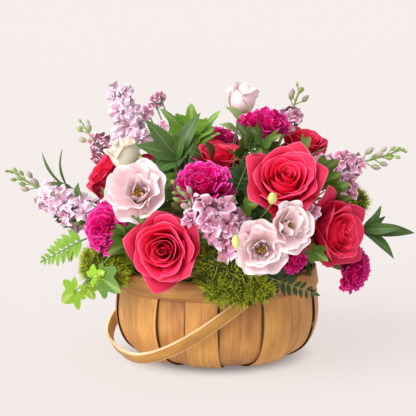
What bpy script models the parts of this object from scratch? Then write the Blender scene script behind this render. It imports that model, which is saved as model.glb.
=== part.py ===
"""Flower basket arrangement: a round splint basket with a swinging bail handle, filled with cut flowers.

Metres, +Z up. The origin is the middle of the base board's underside, and -Y is the front.
Directions round the basket are angles in degrees from the front, positive towards +X.
"""

import math

import bmesh
import bpy
from mathutils import Matrix, Vector, noise

MM = 0.001

# Basket, in millimetres. The wall is the over staves' outer side, from the foot up, as (radius, height).
WALL = [
    (63.5, 0.8), (78.5, 2.6), (89.5, 7.5), (98, 15), (104, 27),
    (107.3, 43), (106.8, 61), (104.4, 77), (101.5, 94),
]
STAVE_THICK = 1.2
LAYER_GAP = 1.0
BASE_RADIUS = 61.5
BASE_THICK = 5.0
RIM_LOW, RIM_HIGH = 77.0, 95.0
RIM_THICK = 2.0
RIM_GAP = 0.9
# Each over stave's middle direction and its width as an angle at the widest height.
OVER_STAVES = [(-92, 25), (-47, 24.4), (-8.6, 18), (35, 19), (82, 22), (128, 23), (173, 21), (220, 24)]
UNDER_TUCK = 4.0  # how far, in degrees, an under stave runs behind each neighbour
WIDEST_ROOM = 44  # the most room, in degrees, that one over stave may take up
ROOM_SHARE = 0.46  # the share of that room that half a stave may fill where the wall is narrow
CHORDS = 2  # flat facets across half a stave
RING_STEPS, BOARD_STEPS = 44, 40  # facets round the hoops and round the base board

# Bail handle: it swings on two pins at the rim.
PIVOT_HEIGHT = 86.0
PIVOT_DIRECTION = 20.0
BAIL_DROP = 34.5  # degrees below the level, where the bail hangs at rest
BAIL_REACH = 132.0
BAIL_HALF_WIDTH = 109.6
BAIL_SQUARENESS = 2.8
BAIL_STEPS = 28
BAND_WIDE, BAND_THICK = 12.0, 3.4
PIN_RADIUS, BORE_RADIUS = 2.0, 2.4
BORE_LENGTH = 2.4 * BAIL_HALF_WIDTH  # long enough to cut both sides in one go
PIN_INSET = 9.0  # how far inside the wall the pin's inner flange sits
PIN_SIDES = 10
# The bail's sides and pin heads move in a slot clear of moss, between these distances along the axis.
SLOT_START, SLOT_END = 105.0, 114.0
SLOT_LOW, SLOT_HIGH = 40.0, 95.2  # the heights of its foot and top
SLOT_LENGTH = 160.0
NEAR_PIVOT = 14.0  # a stave with points this near the pivot's height may need its bore

# Filling.
FOCUS = Vector((0, 0, 88))  # every stem points away from here, inside the foam
STEM_DEPTH = 34.0  # where the cut end of a level stem lies, measured from the focus
STEM_PUSH = 9.0  # how much nearer the focus the end of an upright stem lies
CLEARANCE = 0.7  # room left round a stem in the foam and the moss
MOSS_GAP = 0.5  # room left between the moss and the foam or the rim under it

COLOURS = {
    "splint": ((0.66, 0.42, 0.20), 0.6),
    "bail_wood": ((0.74, 0.50, 0.22), 0.5),
    "pin_metal": ((0.55, 0.50, 0.42), 0.35),
    "liner_plastic": ((0.05, 0.10, 0.05), 0.5),
    "foam": ((0.08, 0.20, 0.09), 0.95),
    "moss": ((0.20, 0.34, 0.03), 0.95),
    "rose": ((0.78, 0.03, 0.11), 0.55),
    "carnation": ((0.70, 0.01, 0.32), 0.6),
    "lisianthus": ((0.88, 0.62, 0.62), 0.5),
    "stock": ((0.72, 0.40, 0.62), 0.55),
    "leaf": ((0.10, 0.26, 0.04), 0.5),
    "ivy": ((0.22, 0.40, 0.05), 0.5),
    "fern": ((0.08, 0.30, 0.05), 0.6),
}


def clear_scene():
    for old in list(bpy.data.objects):
        bpy.data.objects.remove(old, do_unlink=True)


def material(name):
    """The Principled material of that name, made once."""
    made = bpy.data.materials.get(name)
    if made is None:
        colour, roughness = COLOURS[name]
        made = bpy.data.materials.new(name)
        made.use_nodes = True
        shader = made.node_tree.nodes["Principled BSDF"]
        shader.inputs["Base Color"].default_value = (*colour, 1)
        shader.inputs["Roughness"].default_value = roughness
        shader.inputs["Metallic"].default_value = 1.0 if name == "pin_metal" else 0.0
    return made


def finish(name, mesh_data, finish_name):
    """Turns a bmesh in millimetres into a named object in metres, with its faces pointing out."""
    bmesh.ops.recalc_face_normals(mesh_data, faces=mesh_data.faces)
    mesh = bpy.data.meshes.new(name)
    mesh_data.transform(Matrix.Scale(MM, 4))
    mesh_data.to_mesh(mesh)
    mesh_data.free()
    mesh.materials.append(material(finish_name))
    mesh.shade_smooth()
    mesh.set_sharp_from_angle(angle=math.radians(35))
    obj = bpy.data.objects.new(name, mesh)
    bpy.context.collection.objects.link(obj)
    return obj


def around(angle, radius, height=0.0):
    """The point at that direction from the front, in degrees, at that radius and height."""
    a = math.radians(angle)
    return Vector((radius * math.sin(a), -radius * math.cos(a), height))


def skin(rings, strip_caps=False):
    """A closed bmesh through rings of points, each with the same count, capped at both ends.

    A bent ring, whose first half runs along one side and whose second half runs back, takes strip caps.
    """
    data = bmesh.new()
    loops = [[data.verts.new(p) for p in ring] for ring in rings]
    count = len(rings[0])
    for low, high in zip(loops, loops[1:]):
        for i in range(count):
            j = (i + 1) % count
            data.faces.new((low[i], low[j], high[j], high[i]))
    for end in (loops[0], loops[-1]):
        if strip_caps:
            for i in range(count // 2 - 1):
                data.faces.new((end[i], end[i + 1], end[count - 2 - i], end[count - 1 - i]))
        else:
            data.faces.new(end)
    return data


def lathe(name, profile, segments, finish_name):
    """A closed turned solid about Z, from (radius, height) points; radius 0 is on the axis."""
    data = bmesh.new()
    ring = [data.verts.new((r, 0, z)) for r, z in profile]
    pairs = zip(ring, ring[1:] + ring[:1])
    edges = [data.edges.new(pair) for pair in pairs if pair[0].co.x + pair[1].co.x > 0]
    turn = {"cent": (0, 0, 0), "axis": (0, 0, 1), "angle": 2 * math.pi}
    bmesh.ops.spin(data, geom=ring + edges, steps=segments, **turn)
    bmesh.ops.remove_doubles(data, verts=data.verts, dist=0.002)
    return finish(name, data, finish_name)


def disc(segments, radius, depth, place):
    """A closed cylinder in millimetres, about the Z of the matrix it is placed with."""
    data = bmesh.new()
    size = {"radius1": radius, "radius2": radius, "depth": depth}
    bmesh.ops.create_cone(data, cap_ends=True, segments=segments, matrix=place, **size)
    return data


def cutter(mesh_data):
    """A hidden object for a Boolean cut."""
    obj = finish("cutter", mesh_data, "foam")
    obj.hide_render = True
    obj.display_type = "WIRE"
    return obj


def bore_cutter(axis):
    """The cylinder that bores everything along the pivot axis."""
    turn = Vector(axis).to_track_quat("Z", "Y").to_matrix().to_4x4()
    place = Matrix.Translation((0, 0, PIVOT_HEIGHT)) @ turn
    return cutter(disc(12, BORE_RADIUS, BORE_LENGTH, place))


def boolean(obj, others, operation):
    """Applies a Boolean with each of the other objects at once, then removes them."""
    group = bpy.data.collections.new("operands")
    for other in others:
        group.objects.link(other)
    modifier = obj.modifiers.new(operation.lower(), "BOOLEAN")
    modifier.operation = operation
    modifier.operand_type = "COLLECTION"
    modifier.collection = group
    modifier.solver = "EXACT"
    bpy.context.view_layer.update()
    graph = bpy.context.evaluated_depsgraph_get()
    result = bpy.data.meshes.new_from_object(obj.evaluated_get(graph), depsgraph=graph)
    result.name = obj.name
    obj.modifiers.clear()
    obj.data = result
    for other in others:
        bpy.data.objects.remove(other, do_unlink=True)
    bpy.data.collections.remove(group)
    return obj


# ---------------------------------------------------------------- basket


def wall_offset(depth):
    """The wall's profile moved inwards by depth, square to the wall."""
    moved = []
    for i, (r, z) in enumerate(WALL):
        before, after = WALL[max(i - 1, 0)], WALL[min(i + 1, len(WALL) - 1)]
        along = Vector((after[0] - before[0], after[1] - before[1])).normalized()
        moved.append((r - depth * along.y, z + depth * along.x))
    return moved


def wall_radius(height):
    """The over staves' outer radius at that height."""
    for (r0, z0), (r1, z1) in zip(WALL, WALL[1:]):
        if z0 <= height <= z1:
            return r0 + (r1 - r0) * (height - z0) / (z1 - z0)
    return WALL[-1][0]


def stave(name, middle, width, room, depth):
    """One bent strip of the wall. width is an angle at the widest height; room limits it near the foot."""
    widest = max(r for r, _ in WALL)
    half_mm = math.radians(width) * widest / 2
    outer, inner = wall_offset(depth), wall_offset(depth + STAVE_THICK)
    rings = []
    for (ro, zo), (ri, zi) in zip(outer, inner):
        half = min(math.degrees(half_mm / ro), ROOM_SHARE * room)
        across = [middle + half * k / CHORDS for k in range(-CHORDS, CHORDS + 1)]
        back = [around(a, ri, zi) for a in reversed(across)]
        rings.append([around(a, ro, zo) for a in across] + back)
    return finish(name, skin(rings, strip_caps=True), "splint")


def make_staves():
    """Eight over staves, and eight under staves that fill the openings between them."""
    count = len(OVER_STAVES)
    made = []
    for i, (middle, width) in enumerate(OVER_STAVES):
        following, next_width = OVER_STAVES[(i + 1) % count]
        following += 360 if following < middle else 0
        room = min(following - middle, WIDEST_ROOM)
        made.append(stave(f"stave_over_{i + 1}", middle, width, room, 0.0))
        low, high = middle + width / 2, following - next_width / 2
        under_width = high - low + 2 * UNDER_TUCK
        depth = STAVE_THICK + LAYER_GAP
        made.append(stave(f"stave_under_{i + 1}", (low + high) / 2, under_width, room, depth))
    return made


def ring_band(name, inner_offset, low, high, finish_name):
    """A hoop whose inner side follows the wall, moved outwards by inner_offset."""
    r0, r1 = wall_radius(low) + inner_offset, wall_radius(high) + inner_offset
    profile = [(r0, low), (r0 + RIM_THICK, low), (r1 + RIM_THICK, high), (r1, high)]
    return lathe(name, profile, RING_STEPS, finish_name)


def make_base():
    place = Matrix.Translation((0, 0, BASE_THICK / 2))
    return finish("base_board", disc(BOARD_STEPS, BASE_RADIUS, BASE_THICK, place), "splint")


def bail_frame():
    """The bail's pivot axis and the way it points from the axis, at rest."""
    axis = around(PIVOT_DIRECTION, 1)
    level = around(PIVOT_DIRECTION - 90, 1)
    drop = math.radians(BAIL_DROP)
    return axis, level * math.cos(drop) - Vector((0, 0, math.sin(drop)))


def bail_arch(offset):
    """The bail's arch in its own plane, moved outwards by offset, as (along the axis, away from it)."""
    half_width, reach, power = BAIL_HALF_WIDTH + offset, BAIL_REACH + offset, 2 / BAIL_SQUARENESS
    points = [(half_width, -BAND_WIDE / 2)]
    for i in range(BAIL_STEPS + 1):
        t = math.pi * i / BAIL_STEPS
        c, s = math.cos(t), math.sin(t)
        across = math.copysign(abs(c) ** power, c) * half_width
        points.append((across, s**power * reach if s > 1e-9 else 0.0))
    points.append((-half_width, -BAND_WIDE / 2))
    return points


def make_bail():
    """A flat band bent to a squarish arch, with rounded ends past its two bores."""
    axis, reach = bail_frame()
    normal = axis.cross(reach)
    centre = Vector((0, 0, PIVOT_HEIGHT))
    wide = BAND_WIDE / 2
    rings = []
    for outer, inner in zip(bail_arch(BAND_THICK / 2), bail_arch(-BAND_THICK / 2)):
        corners = [(outer, 1), (outer, -1), (inner, -1), (inner, 1)]
        rings.append([centre + axis * a + reach * d + normal * wide * side for (a, d), side in corners])
    bail = finish("bail_handle", skin(rings), "bail_wood")
    return boolean(bail, [bore_cutter(axis)], "DIFFERENCE")


def make_pin(name, side):
    """A domed pin through the bail's end and both rim hoops; side is 1 at the front and -1 at the back."""
    axis = around(PIVOT_DIRECTION, 1) * side
    start = wall_radius(PIVOT_HEIGHT) - PIN_INSET
    out = BAIL_HALF_WIDTH + BAND_THICK / 2 + 0.4
    flange = [(start - 1.4, 2.6), (start - 0.2, 3.6)]
    shank = [(start, PIN_RADIUS), (out, PIN_RADIUS)]
    dome = [(out, 4.2), (out + 0.9, 3.8), (out + 1.6, 2.0)]
    turn = axis.to_track_quat("Z", "Y").to_matrix()
    angles = [2 * math.pi * k / PIN_SIDES for k in range(PIN_SIDES)]
    rings = []
    for along, radius in flange + shank + dome:
        ring = [Vector((radius * math.cos(a), radius * math.sin(a), along)) for a in angles]
        rings.append([turn @ p + Vector((0, 0, PIVOT_HEIGHT)) for p in ring])
    return finish(name, skin(rings), "pin_metal")


def make_basket():
    """The base board, staves, rim hoops, bail and pins, with the pivot bored through all of them."""
    make_base()
    staves = make_staves()
    rim_outer = ring_band("rim_band_outer", RIM_GAP, RIM_LOW, RIM_HIGH, "splint")
    inside = STAVE_THICK * 2 + LAYER_GAP + RIM_GAP + RIM_THICK
    rim_inner = ring_band("rim_band_inner", -inside, RIM_LOW, RIM_HIGH, "splint")
    axis = around(PIVOT_DIRECTION, 1)
    near = [o for o in staves if touches_axis(o, axis)]
    for obj in [rim_outer, rim_inner, *near]:
        boolean(obj, [bore_cutter(axis)], "DIFFERENCE")
    make_bail()
    make_pin("pivot_pin_front", 1)
    make_pin("pivot_pin_back", -1)


def touches_axis(obj, axis):
    """Whether the stave has points near enough to the pivot axis to need its bore."""
    line = Vector((axis.x, axis.y, 0))
    angles = []
    for v in obj.data.vertices:
        if abs(v.co.z / MM - PIVOT_HEIGHT) < NEAR_PIVOT:
            flat = Vector((v.co.x, v.co.y, 0)) / MM
            angles.append(flat.cross(line).z)
    return bool(angles) and min(angles) < BORE_RADIUS + 1 and max(angles) > -BORE_RADIUS - 1


# ---------------------------------------------------------------- stems and blooms


def turned_frames(path):
    """A pair of square directions at each point of the path, with as little twist as they allow."""
    frames = []
    side = None
    for i, _ in enumerate(path):
        along = (path[min(i + 1, len(path) - 1)] - path[max(i - 1, 0)]).normalized()
        if side is None:
            side = along.orthogonal().normalized()
        side = (side - along * side.dot(along)).normalized()
        frames.append((side, along.cross(side)))
    return frames


def tube_rings(path, radii, sides):
    """Round rings along a path."""
    rings = []
    for point, r, (u, v) in zip(path, radii, turned_frames(path)):
        angles = [2 * math.pi * k / sides for k in range(sides)]
        rings.append([point + u * (r * math.cos(a)) + v * (r * math.sin(a)) for a in angles])
    return rings


def bezier(a, b, c, d, steps):
    """Points along the cubic curve from a to d that b and c pull on."""
    points = []
    for i in range(steps + 1):
        t = i / steps
        s = 1 - t
        points.append(a * s**3 + b * (3 * s * s * t) + c * (3 * s * t * t) + d * t**3)
    return points


def cut_end(toward, lean=0.06):
    """Where a stem's cut end lies in the foam, and the way the stem leaves it."""
    away = toward - FOCUS
    away.z = max(away.z, away.length * lean)
    away.normalize()
    return FOCUS + away * (STEM_DEPTH - STEM_PUSH * away.z), away


def stem_path(head, facing, steps=5):
    """A stem's curve from its cut end to the foot of its head, which it meets along facing."""
    start, away = cut_end(head)
    pull = (head - start).length / 3
    return bezier(start, start + away * pull, head - facing * pull, head, steps)


# Head sections from the stem outwards: distance along the flower's axis, radius and scallop share.
# Distances and radii are shares of the bloom's radius.
HEADS = {
    "rose": [
        (0.0, 0.16, 0), (0.10, 0.30, 0), (0.40, 0.66, 0.02), (0.80, 0.92, 0.07),
        (1.02, 1.0, 0.09), (1.14, 0.78, 0.05), (1.22, 0.50, 0.04), (1.20, 0.22, 0),
    ],
    "carnation": [
        (0.0, 0.22, 0), (0.62, 0.28, 0), (0.82, 0.70, 0.04), (1.06, 0.98, 0.05),
        (1.34, 1.0, -0.05), (1.60, 0.78, 0.05), (1.74, 0.36, 0),
    ],
    "lisianthus": [
        (0.0, 0.14, 0), (0.12, 0.28, 0), (0.55, 0.62, 0.02), (0.95, 0.94, 0.05),
        (1.02, 0.98, 0.06), (0.84, 0.66, 0.03), (0.56, 0.34, 0), (0.50, 0.12, 0),
    ],
    "lisianthus_bud": [
        (0.0, 0.26, 0), (0.20, 0.56, 0), (0.75, 0.96, 0.03),
        (1.30, 0.92, 0.05), (1.85, 0.62, 0.05), (2.05, 0.30, 0),
    ],
}
LOBES = 5  # scallops round a bloom's edge
SIDES = 10  # facets round a stem and its head
STEM_SIDES, CUTTER_SIDES = 6, 8  # facets round a thin stem, and round the cutter for any stem


def bloom_rings(head, facing, kind, radius, stem_radius):
    """Rings for a stem and its head, and the stem's path. head is the middle of the bloom's front."""
    sections = HEADS[kind]
    depth = max(along for along, _, _ in sections) * radius
    base = head - facing * depth
    path = stem_path(base, facing)
    rings = tube_rings(path, [stem_radius] * len(path), SIDES)
    u, v = turned_frames(path + [base + facing])[-1]
    for along, share, scallop in sections[1:]:
        centre = base + facing * (along * radius)
        ring = []
        for k in range(SIDES):
            a = 2 * math.pi * k / SIDES
            reach = share * radius * (1 + scallop * math.cos(LOBES * a))
            ring.append(centre + u * (reach * math.cos(a)) + v * (reach * math.sin(a)))
        rings.append(ring)
    return rings, path


# Name, kind, middle of the bloom's front, the way it faces, radius.
BLOOMS = [
    ("rose_front_left", "rose", (-53, -132, 134), (-0.10, -0.97, 0.14), 36),
    ("rose_center_right", "rose", (66, -114, 207), (0.10, -0.78, 0.60), 36),
    ("rose_right", "rose", (131, -86, 143), (0.76, -0.62, 0.10), 32),
    ("rose_left", "rose", (-125, 20, 196), (-0.75, 0.05, 0.62), 27),
    ("rose_top", "rose", (3, -10, 219), (0.04, -0.30, 0.95), 27),
    ("rose_right_rear", "rose", (102, 59, 222), (0.42, 0.38, 0.82), 25),
    ("rose_rear_left", "rose", (-72, 122, 176), (-0.42, 0.78, 0.46), 35),
    ("rose_rear_right", "rose", (58, 138, 150), (0.34, 0.90, 0.28), 36),
    ("carnation_center", "carnation", (-13, -84, 204), (-0.05, -0.55, 0.83), 29),
    ("carnation_left", "carnation", (-116, -78, 150), (-0.60, -0.75, 0.30), 24),
    ("carnation_top", "carnation", (51, 9, 256), (0.08, 0.22, 0.97), 28),
    ("carnation_right", "carnation", (152, -52, 94), (0.86, -0.44, -0.22), 23),
    ("carnation_low", "carnation", (77, -110, 119), (0.42, -0.86, -0.20), 17),
    ("carnation_rear", "carnation", (-2, 96, 222), (-0.02, 0.62, 0.78), 28),
    ("lisianthus_left", "lisianthus", (-81, -96, 190), (-0.25, -0.85, 0.45), 31),
    ("lisianthus_bud_left", "lisianthus_bud", (-99, -40, 230), (-0.35, -0.15, 0.92), 16),
    ("lisianthus_front", "lisianthus", (42, -146, 137), (0.05, -0.98, 0.12), 25),
    ("lisianthus_front_high", "lisianthus", (74, -146, 164), (0.46, -0.82, 0.33), 20),
    ("lisianthus_bud_top", "lisianthus_bud", (35, 44, 282), (0.42, 0.15, 0.89), 13),
]

# Name, where the spike's florets start, its tip, radius at the start.
STOCKS = [
    ("stock_left", (-133, -26, 157), (-214, -18, 197), 19),
    ("stock_top_left", (-84, 34, 221), (-104, 44, 282), 17),
    ("stock_front", (20, -112, 143), (-38, -136, 194), 20),
    ("stock_top_right", (75, 41, 239), (89, 49, 277), 12),
    ("stock_right", (108, 6, 192), (194, -2, 216), 15),
    ("stock_rear", (-118, 78, 196), (-150, 108, 232), 16),
]

# Name, finish, stem's way points after the foam, leaves as (share along the stem, tip, width).
SPRAYS = [
    (
        "ruscus_top", "leaf", [(-40, -44, 196), (-41, -48, 214)],
        [
            (1.0, (-72, -50, 252), 14), (0.98, (-80, -56, 228), 14),
            (1.0, (-18, -44, 257), 14), (0.9, (-22, -50, 234), 12),
        ],
    ),
    (
        "ruscus_right", "leaf", [(136, -26, 132), (150, -34, 137)],
        [
            (0.95, (168, -34, 161), 10), (1.0, (203, -36, 134), 12),
            (0.95, (182, -42, 108), 11), (1.0, (187, -48, 141), 10),
        ],
    ),
    (
        "leaf_spray_top", "leaf", [(-22, 22, 212), (-26, 22, 226)],
        [(1.0, (-62, 24, 252), 20), (1.0, (-24, 22, 260), 20), (0.9, (6, 22, 254), 18)],
    ),
    (
        "ivy_top", "ivy", [(44, -22, 214), (47, -24, 230)],
        [(1.0, (34, -36, 238), 22), (0.9, (64, -44, 234), 22), (0.8, (43, -46, 219), 20)],
    ),
    (
        "ivy_center", "ivy", [(-87, -92, 141)],
        [(1.0, (-90, -118, 160), 13), (0.9, (-104, -122, 126), 24)],
    ),
    (
        "ivy_left", "ivy", [(-97, -88, 126), (-121, -94, 104), (-138, -76, 86)],
        [(0.66, (-96, -122, 96), 28), (1.0, (-160, -58, 68), 26), (0.9, (-126, -80, 74), 20)],
    ),
]

# Name, where the frond's blade starts, its tip, width at the start.
FERNS = [
    ("fern_left", (-139, -34, 126), (-182, -30, 103), 28),
    ("fern_right", (49, -110, 104), (95, -110, 88), 20),
]

# Name, middle, radii along X, Y and Z.
MOSS = [
    ("moss_front", (12, -98, 108), (34, 26, 30)),
    ("moss_left", (-113, -50, 104), (25, 23, 20)),
    ("moss_right", (143, -6, 161), (13, 13, 13)),
]
STEMMED_MOSS = "moss_right"  # a ball on a stem of its own; the others are cushions that rest on the foam
SWINGING_MOSS = "moss_front"  # the cushion that keeps clear of the bail's front pivot

ROSE_STEM, BLOOM_STEM, STOCK_STEM, LEAF_STEM = 2.8, 2.2, 2.0, 1.3  # stem radii
LEAF_THICK = 1.0
LEAF_ROOT = 0.4  # how far inside its stem a leaf starts

# A spike of stock from its foot to its tip: each ring's radius as a share of the widest.
STOCK_SHARES = (0.7, 1.0, 0.78, 0.92, 0.62, 0.66, 0.36, 0.36, 0.12)
STOCK_START, STOCK_SPAN = 0.35, 8.35  # where the first ring lies and where the tip lies, counted in rings
STOCK_LUMPS, STOCK_LUMP_SHARE, STOCK_TWIST = 3, 0.12, 0.3

FERN_TEETH = 7


def make_blooms():
    """Each bloom and its stem; returns the stems' paths."""
    stems = []
    for name, kind, head, facing, radius in BLOOMS:
        way = Vector(facing).normalized()
        stem = ROSE_STEM if kind == "rose" else BLOOM_STEM
        rings, path = bloom_rings(Vector(head), way, kind, radius, stem)
        finish(name, skin(rings), kind.split("_")[0])
        stems.append((path, stem))
    return stems


def make_stocks():
    """Spikes of florets, each a lumpy column that narrows to its tip; returns the stems' paths."""
    stems = []
    for name, start, tip, radius in STOCKS:
        start, tip = Vector(start), Vector(tip)
        along = tip - start
        path = stem_path(start, along.normalized())
        rings = tube_rings(path, [STOCK_STEM] * len(path), SIDES)
        u, v = turned_frames(path + [path[-1] + along])[-1]
        for i, share in enumerate(STOCK_SHARES):
            centre = start + along * (i + STOCK_START) / STOCK_SPAN
            ring = []
            for k in range(SIDES):
                a = 2 * math.pi * k / SIDES
                lump = STOCK_LUMP_SHARE * math.cos(STOCK_LUMPS * a + STOCK_TWIST * i)
                r = radius * share * (1 + lump)
                ring.append(centre + u * (r * math.cos(a)) + v * (r * math.sin(a)))
            rings.append(ring)
        finish(name, skin(rings), "stock")
        stems.append((path, STOCK_STEM))
    return stems


# Half a leaf's outline, as (distance along the leaf, distance from its midrib over its width).
LEAF_OUTLINE = [(0, 0.05), (0.22, 0.40), (0.48, 0.5), (0.75, 0.32), (1.0, 0.03)]
IVY_OUTLINE = [(0, 0.06), (-0.04, 0.34), (0.30, 0.62), (0.42, 0.34), (0.66, 0.36), (1.0, 0.03)]


def leaf_plate(base, tip, width, outline):
    """A flat closed leaf from base to tip that faces away from the middle of the arrangement."""
    along = tip - base
    face = (base + tip) / 2 - FOCUS
    face = (face - along * face.dot(along) / along.length_squared).normalized()
    side = along.normalized().cross(face)
    flat = [(s, w) for s, w in outline] + [(s, -w) for s, w in reversed(outline)]
    sheet = [base + along * s + side * (w * width) for s, w in flat]
    half = face * LEAF_THICK / 2
    return skin([[p - half for p in sheet], [p + half for p in sheet]])


def thin_stem(name, path, finish_name):
    """The bare stem of a leafy piece, as an object."""
    return finish(name, skin(tube_rings(path, [LEAF_STEM] * len(path), STEM_SIDES)), finish_name)


def make_sprays():
    """Leafy stems, each fused into one piece with its leaves; returns the stems' paths."""
    stems = []
    for name, finish_name, points, leaves in SPRAYS:
        points = [Vector(p) for p in points]
        start, away = cut_end(points[0])
        path = smooth_path([start, *points], away)
        stem = thin_stem(name, path, finish_name)
        outline = IVY_OUTLINE if finish_name == "ivy" else LEAF_OUTLINE
        last = len(path) - 1
        plates = []
        for share, tip, width in leaves:
            low = share * last
            i = min(int(low), last - 1)
            base = path[i].lerp(path[i + 1], low - i)
            inner = base - (path[i + 1] - path[i]).normalized() * LEAF_ROOT
            plates.append(finish("leaf", leaf_plate(inner, Vector(tip), width, outline), finish_name))
        boolean(stem, plates, "UNION")
        stems.append((path, LEAF_STEM))
    return stems


def smooth_path(points, away, steps=4):
    """A curve through the points that leaves the first along away."""
    path = [points[0]]
    for i in range(len(points) - 1):
        a, b = points[i], points[i + 1]
        reach = (b - a).length / 3
        leave = away if i == 0 else (b - points[i - 1]).normalized()
        arrive = (points[i + 2] - a).normalized() if i + 2 < len(points) else (b - a).normalized()
        path += bezier(a, a + leave * reach, b - arrive * reach, b, steps)[1:]
    return path


def make_ferns():
    """Fronds, each a stem and a flat blade with a saw-toothed outline; returns the stems' paths."""
    stems = []
    for name, start, tip, width in FERNS:
        start, tip = Vector(start), Vector(tip)
        path = stem_path(start, (tip - start).normalized())
        stem = thin_stem(name, path, "fern")
        outline = [(-0.02, 0.06)]
        for i in range(FERN_TEETH):
            outline.append(((i + 0.55) / FERN_TEETH, 0.5 * (1 - 0.75 * i / FERN_TEETH)))
            outline.append(((i + 0.95) / FERN_TEETH, 0.16 * (1 - 0.6 * i / FERN_TEETH)))
        outline[-1] = (1.0, 0.03)
        blade = finish("blade", leaf_plate(start, tip, width, outline), "fern")
        boolean(stem, [blade], "UNION")
        stems.append((path, LEAF_STEM))
    return stems


def stem_cutters(stems, near=None, reach=0.0):
    """Slightly fatter copies of the stems that pass within reach of a point, as cutters."""
    cutters = []
    for path, radius in stems:
        ends = [path[0] - (path[1] - path[0]).normalized() * 2 * CLEARANCE, *path[1:]]
        if near is not None and min((p - near).length for p in sampled(ends)) > reach:
            continue
        cutters.append(cutter(skin(tube_rings(ends, [radius + CLEARANCE] * len(ends), CUTTER_SIDES))))
    return cutters


def sampled(path):
    """Points at quarter steps along a path."""
    return [a.lerp(b, k / 4) for a, b in zip(path, path[1:]) for k in range(5)]


# Sections of the turned pieces inside the basket, as (radius, height).
FOAM_PROFILE = [(0, 6.9), (56.5, 6.9), (76, 16), (84.5, 40), (86.5, 84), (80, 105), (55, 119), (0, 124)]
LINER_OUTER = [(0, 5.3), (58, 5.3), (80, 14.5), (88, 40), (91, 86)]
LINER_INNER = [(89.8, 86), (86.8, 40.4), (79, 15.6), (57.5, 6.5), (0, 6.5)]
LINER_STEPS, FOAM_STEPS = 36, 32
FOAM_SIDE = FOAM_PROFILE[4][0]  # the foam's radius at the basket's mouth
FOAM_DOME = FOAM_PROFILE[3:]  # the part of its section that moss can rest on


def make_filling():
    """The liner, everything on a stem, the foam that holds the stems, and the moss."""
    lathe("plastic_liner", LINER_OUTER + LINER_INNER, LINER_STEPS, "liner_plastic")
    stems = make_blooms() + make_stocks() + make_sprays() + make_ferns()
    middle = next(Vector(centre) for name, centre, _ in MOSS if name == STEMMED_MOSS)
    stems.append((stem_path(middle, (middle - FOCUS).normalized()), LEAF_STEM))
    foam = lathe("floral_foam", FOAM_PROFILE, FOAM_STEPS, "foam")
    boolean(foam, stem_cutters(stems), "DIFFERENCE")
    make_moss(stems)


MOSS_UNEVEN, MOSS_LUMPS = 0.16, 1.9  # how far a cushion's surface strays, and how fine its lumps are


def moss_lump(name, centre, radii):
    """An uneven cushion about its centre."""
    data = bmesh.new()
    bmesh.ops.create_icosphere(data, subdivisions=3 if max(radii) > 20 else 2, radius=1)
    for v in data.verts:
        swell = 1 + MOSS_UNEVEN * noise.noise(v.co * MOSS_LUMPS + Vector(centre))
        v.co = Vector(centre) + Vector([c * r for c, r in zip(v.co * swell, radii)])
    return finish(name, data, "moss")


def bail_zone():
    """A cutter round the front of the pivot axis, where the bail and its pin move."""
    axis, _ = bail_frame()
    level = around(PIVOT_DIRECTION - 90, 1)
    middle = axis * ((SLOT_START + SLOT_END) / 2) + Vector((0, 0, (SLOT_LOW + SLOT_HIGH) / 2))
    turn = Matrix((level, axis, Vector((0, 0, 1)))).transposed().to_4x4()
    size = Matrix.Diagonal((SLOT_LENGTH, SLOT_END - SLOT_START, SLOT_HIGH - SLOT_LOW, 1))
    data = bmesh.new()
    bmesh.ops.create_cube(data, size=1, matrix=Matrix.Translation(middle) @ turn @ size)
    return cutter(data)


def rim_zone():
    """A cutter round the rim and the tops of the staves, which hollows a cushion of moss underneath."""
    inside = FOAM_SIDE - 1
    outside = wall_radius(RIM_LOW) + RIM_GAP + RIM_THICK + 0.6
    top = RIM_HIGH + MOSS_GAP
    profile = [(inside, SLOT_LOW), (outside, SLOT_LOW), (outside, top), (inside, top)]
    return lathe("cutter", profile, RING_STEPS, "foam")


def foam_zone():
    """A cutter slightly larger than the foam's dome."""
    dome = [(r + MOSS_GAP if r else 0, z + MOSS_GAP) for r, z in FOAM_DOME]
    return lathe("cutter", dome + [(0, SLOT_LOW)], FOAM_STEPS, "foam")


def make_moss(stems):
    """Cushions of moss: two hollowed underneath so that they sit over the rim, and one on a stem."""
    for name, centre, radii in MOSS:
        centre = Vector(centre)
        lump = moss_lump(name, centre, radii)
        if name == STEMMED_MOSS:
            path = stem_path(centre, (centre - FOCUS).normalized())
            boolean(lump, [thin_stem("stem", path, "moss")], "UNION")
            continue
        cutters = [rim_zone(), foam_zone(), *stem_cutters(stems, centre, max(radii) * 1.4)]
        cutters += [bail_zone()] if name == SWINGING_MOSS else []
        boolean(lump, cutters, "DIFFERENCE")


clear_scene()
make_basket()
make_filling()
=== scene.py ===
"""Flower basket arrangement: the finished look of every flower, leaf, tuft of moss and strip of wood.

Lengths in the placement lists are millimetres, as in the part's own design. They become metres when a piece
is made.
"""

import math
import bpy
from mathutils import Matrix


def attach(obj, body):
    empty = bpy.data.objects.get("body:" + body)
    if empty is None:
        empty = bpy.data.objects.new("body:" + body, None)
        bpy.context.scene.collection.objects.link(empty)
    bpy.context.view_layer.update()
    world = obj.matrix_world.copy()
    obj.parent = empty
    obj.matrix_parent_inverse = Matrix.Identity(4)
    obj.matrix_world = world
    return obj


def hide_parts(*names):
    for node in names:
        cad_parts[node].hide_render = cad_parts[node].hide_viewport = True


bl_info = {
    "name": "Flower basket arrangement",
    "version": (1, 0, 0),
    "blender": (4, 5, 0),
    "location": "3D View > Sidebar > Flower Basket",
    "description": "Makes a splint basket filled with roses, carnations, lisianthus, stock and greens",
    "category": "Object",
}

import bpy
import numpy as np
from mathutils import Vector
from mathutils import noise as field

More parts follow.
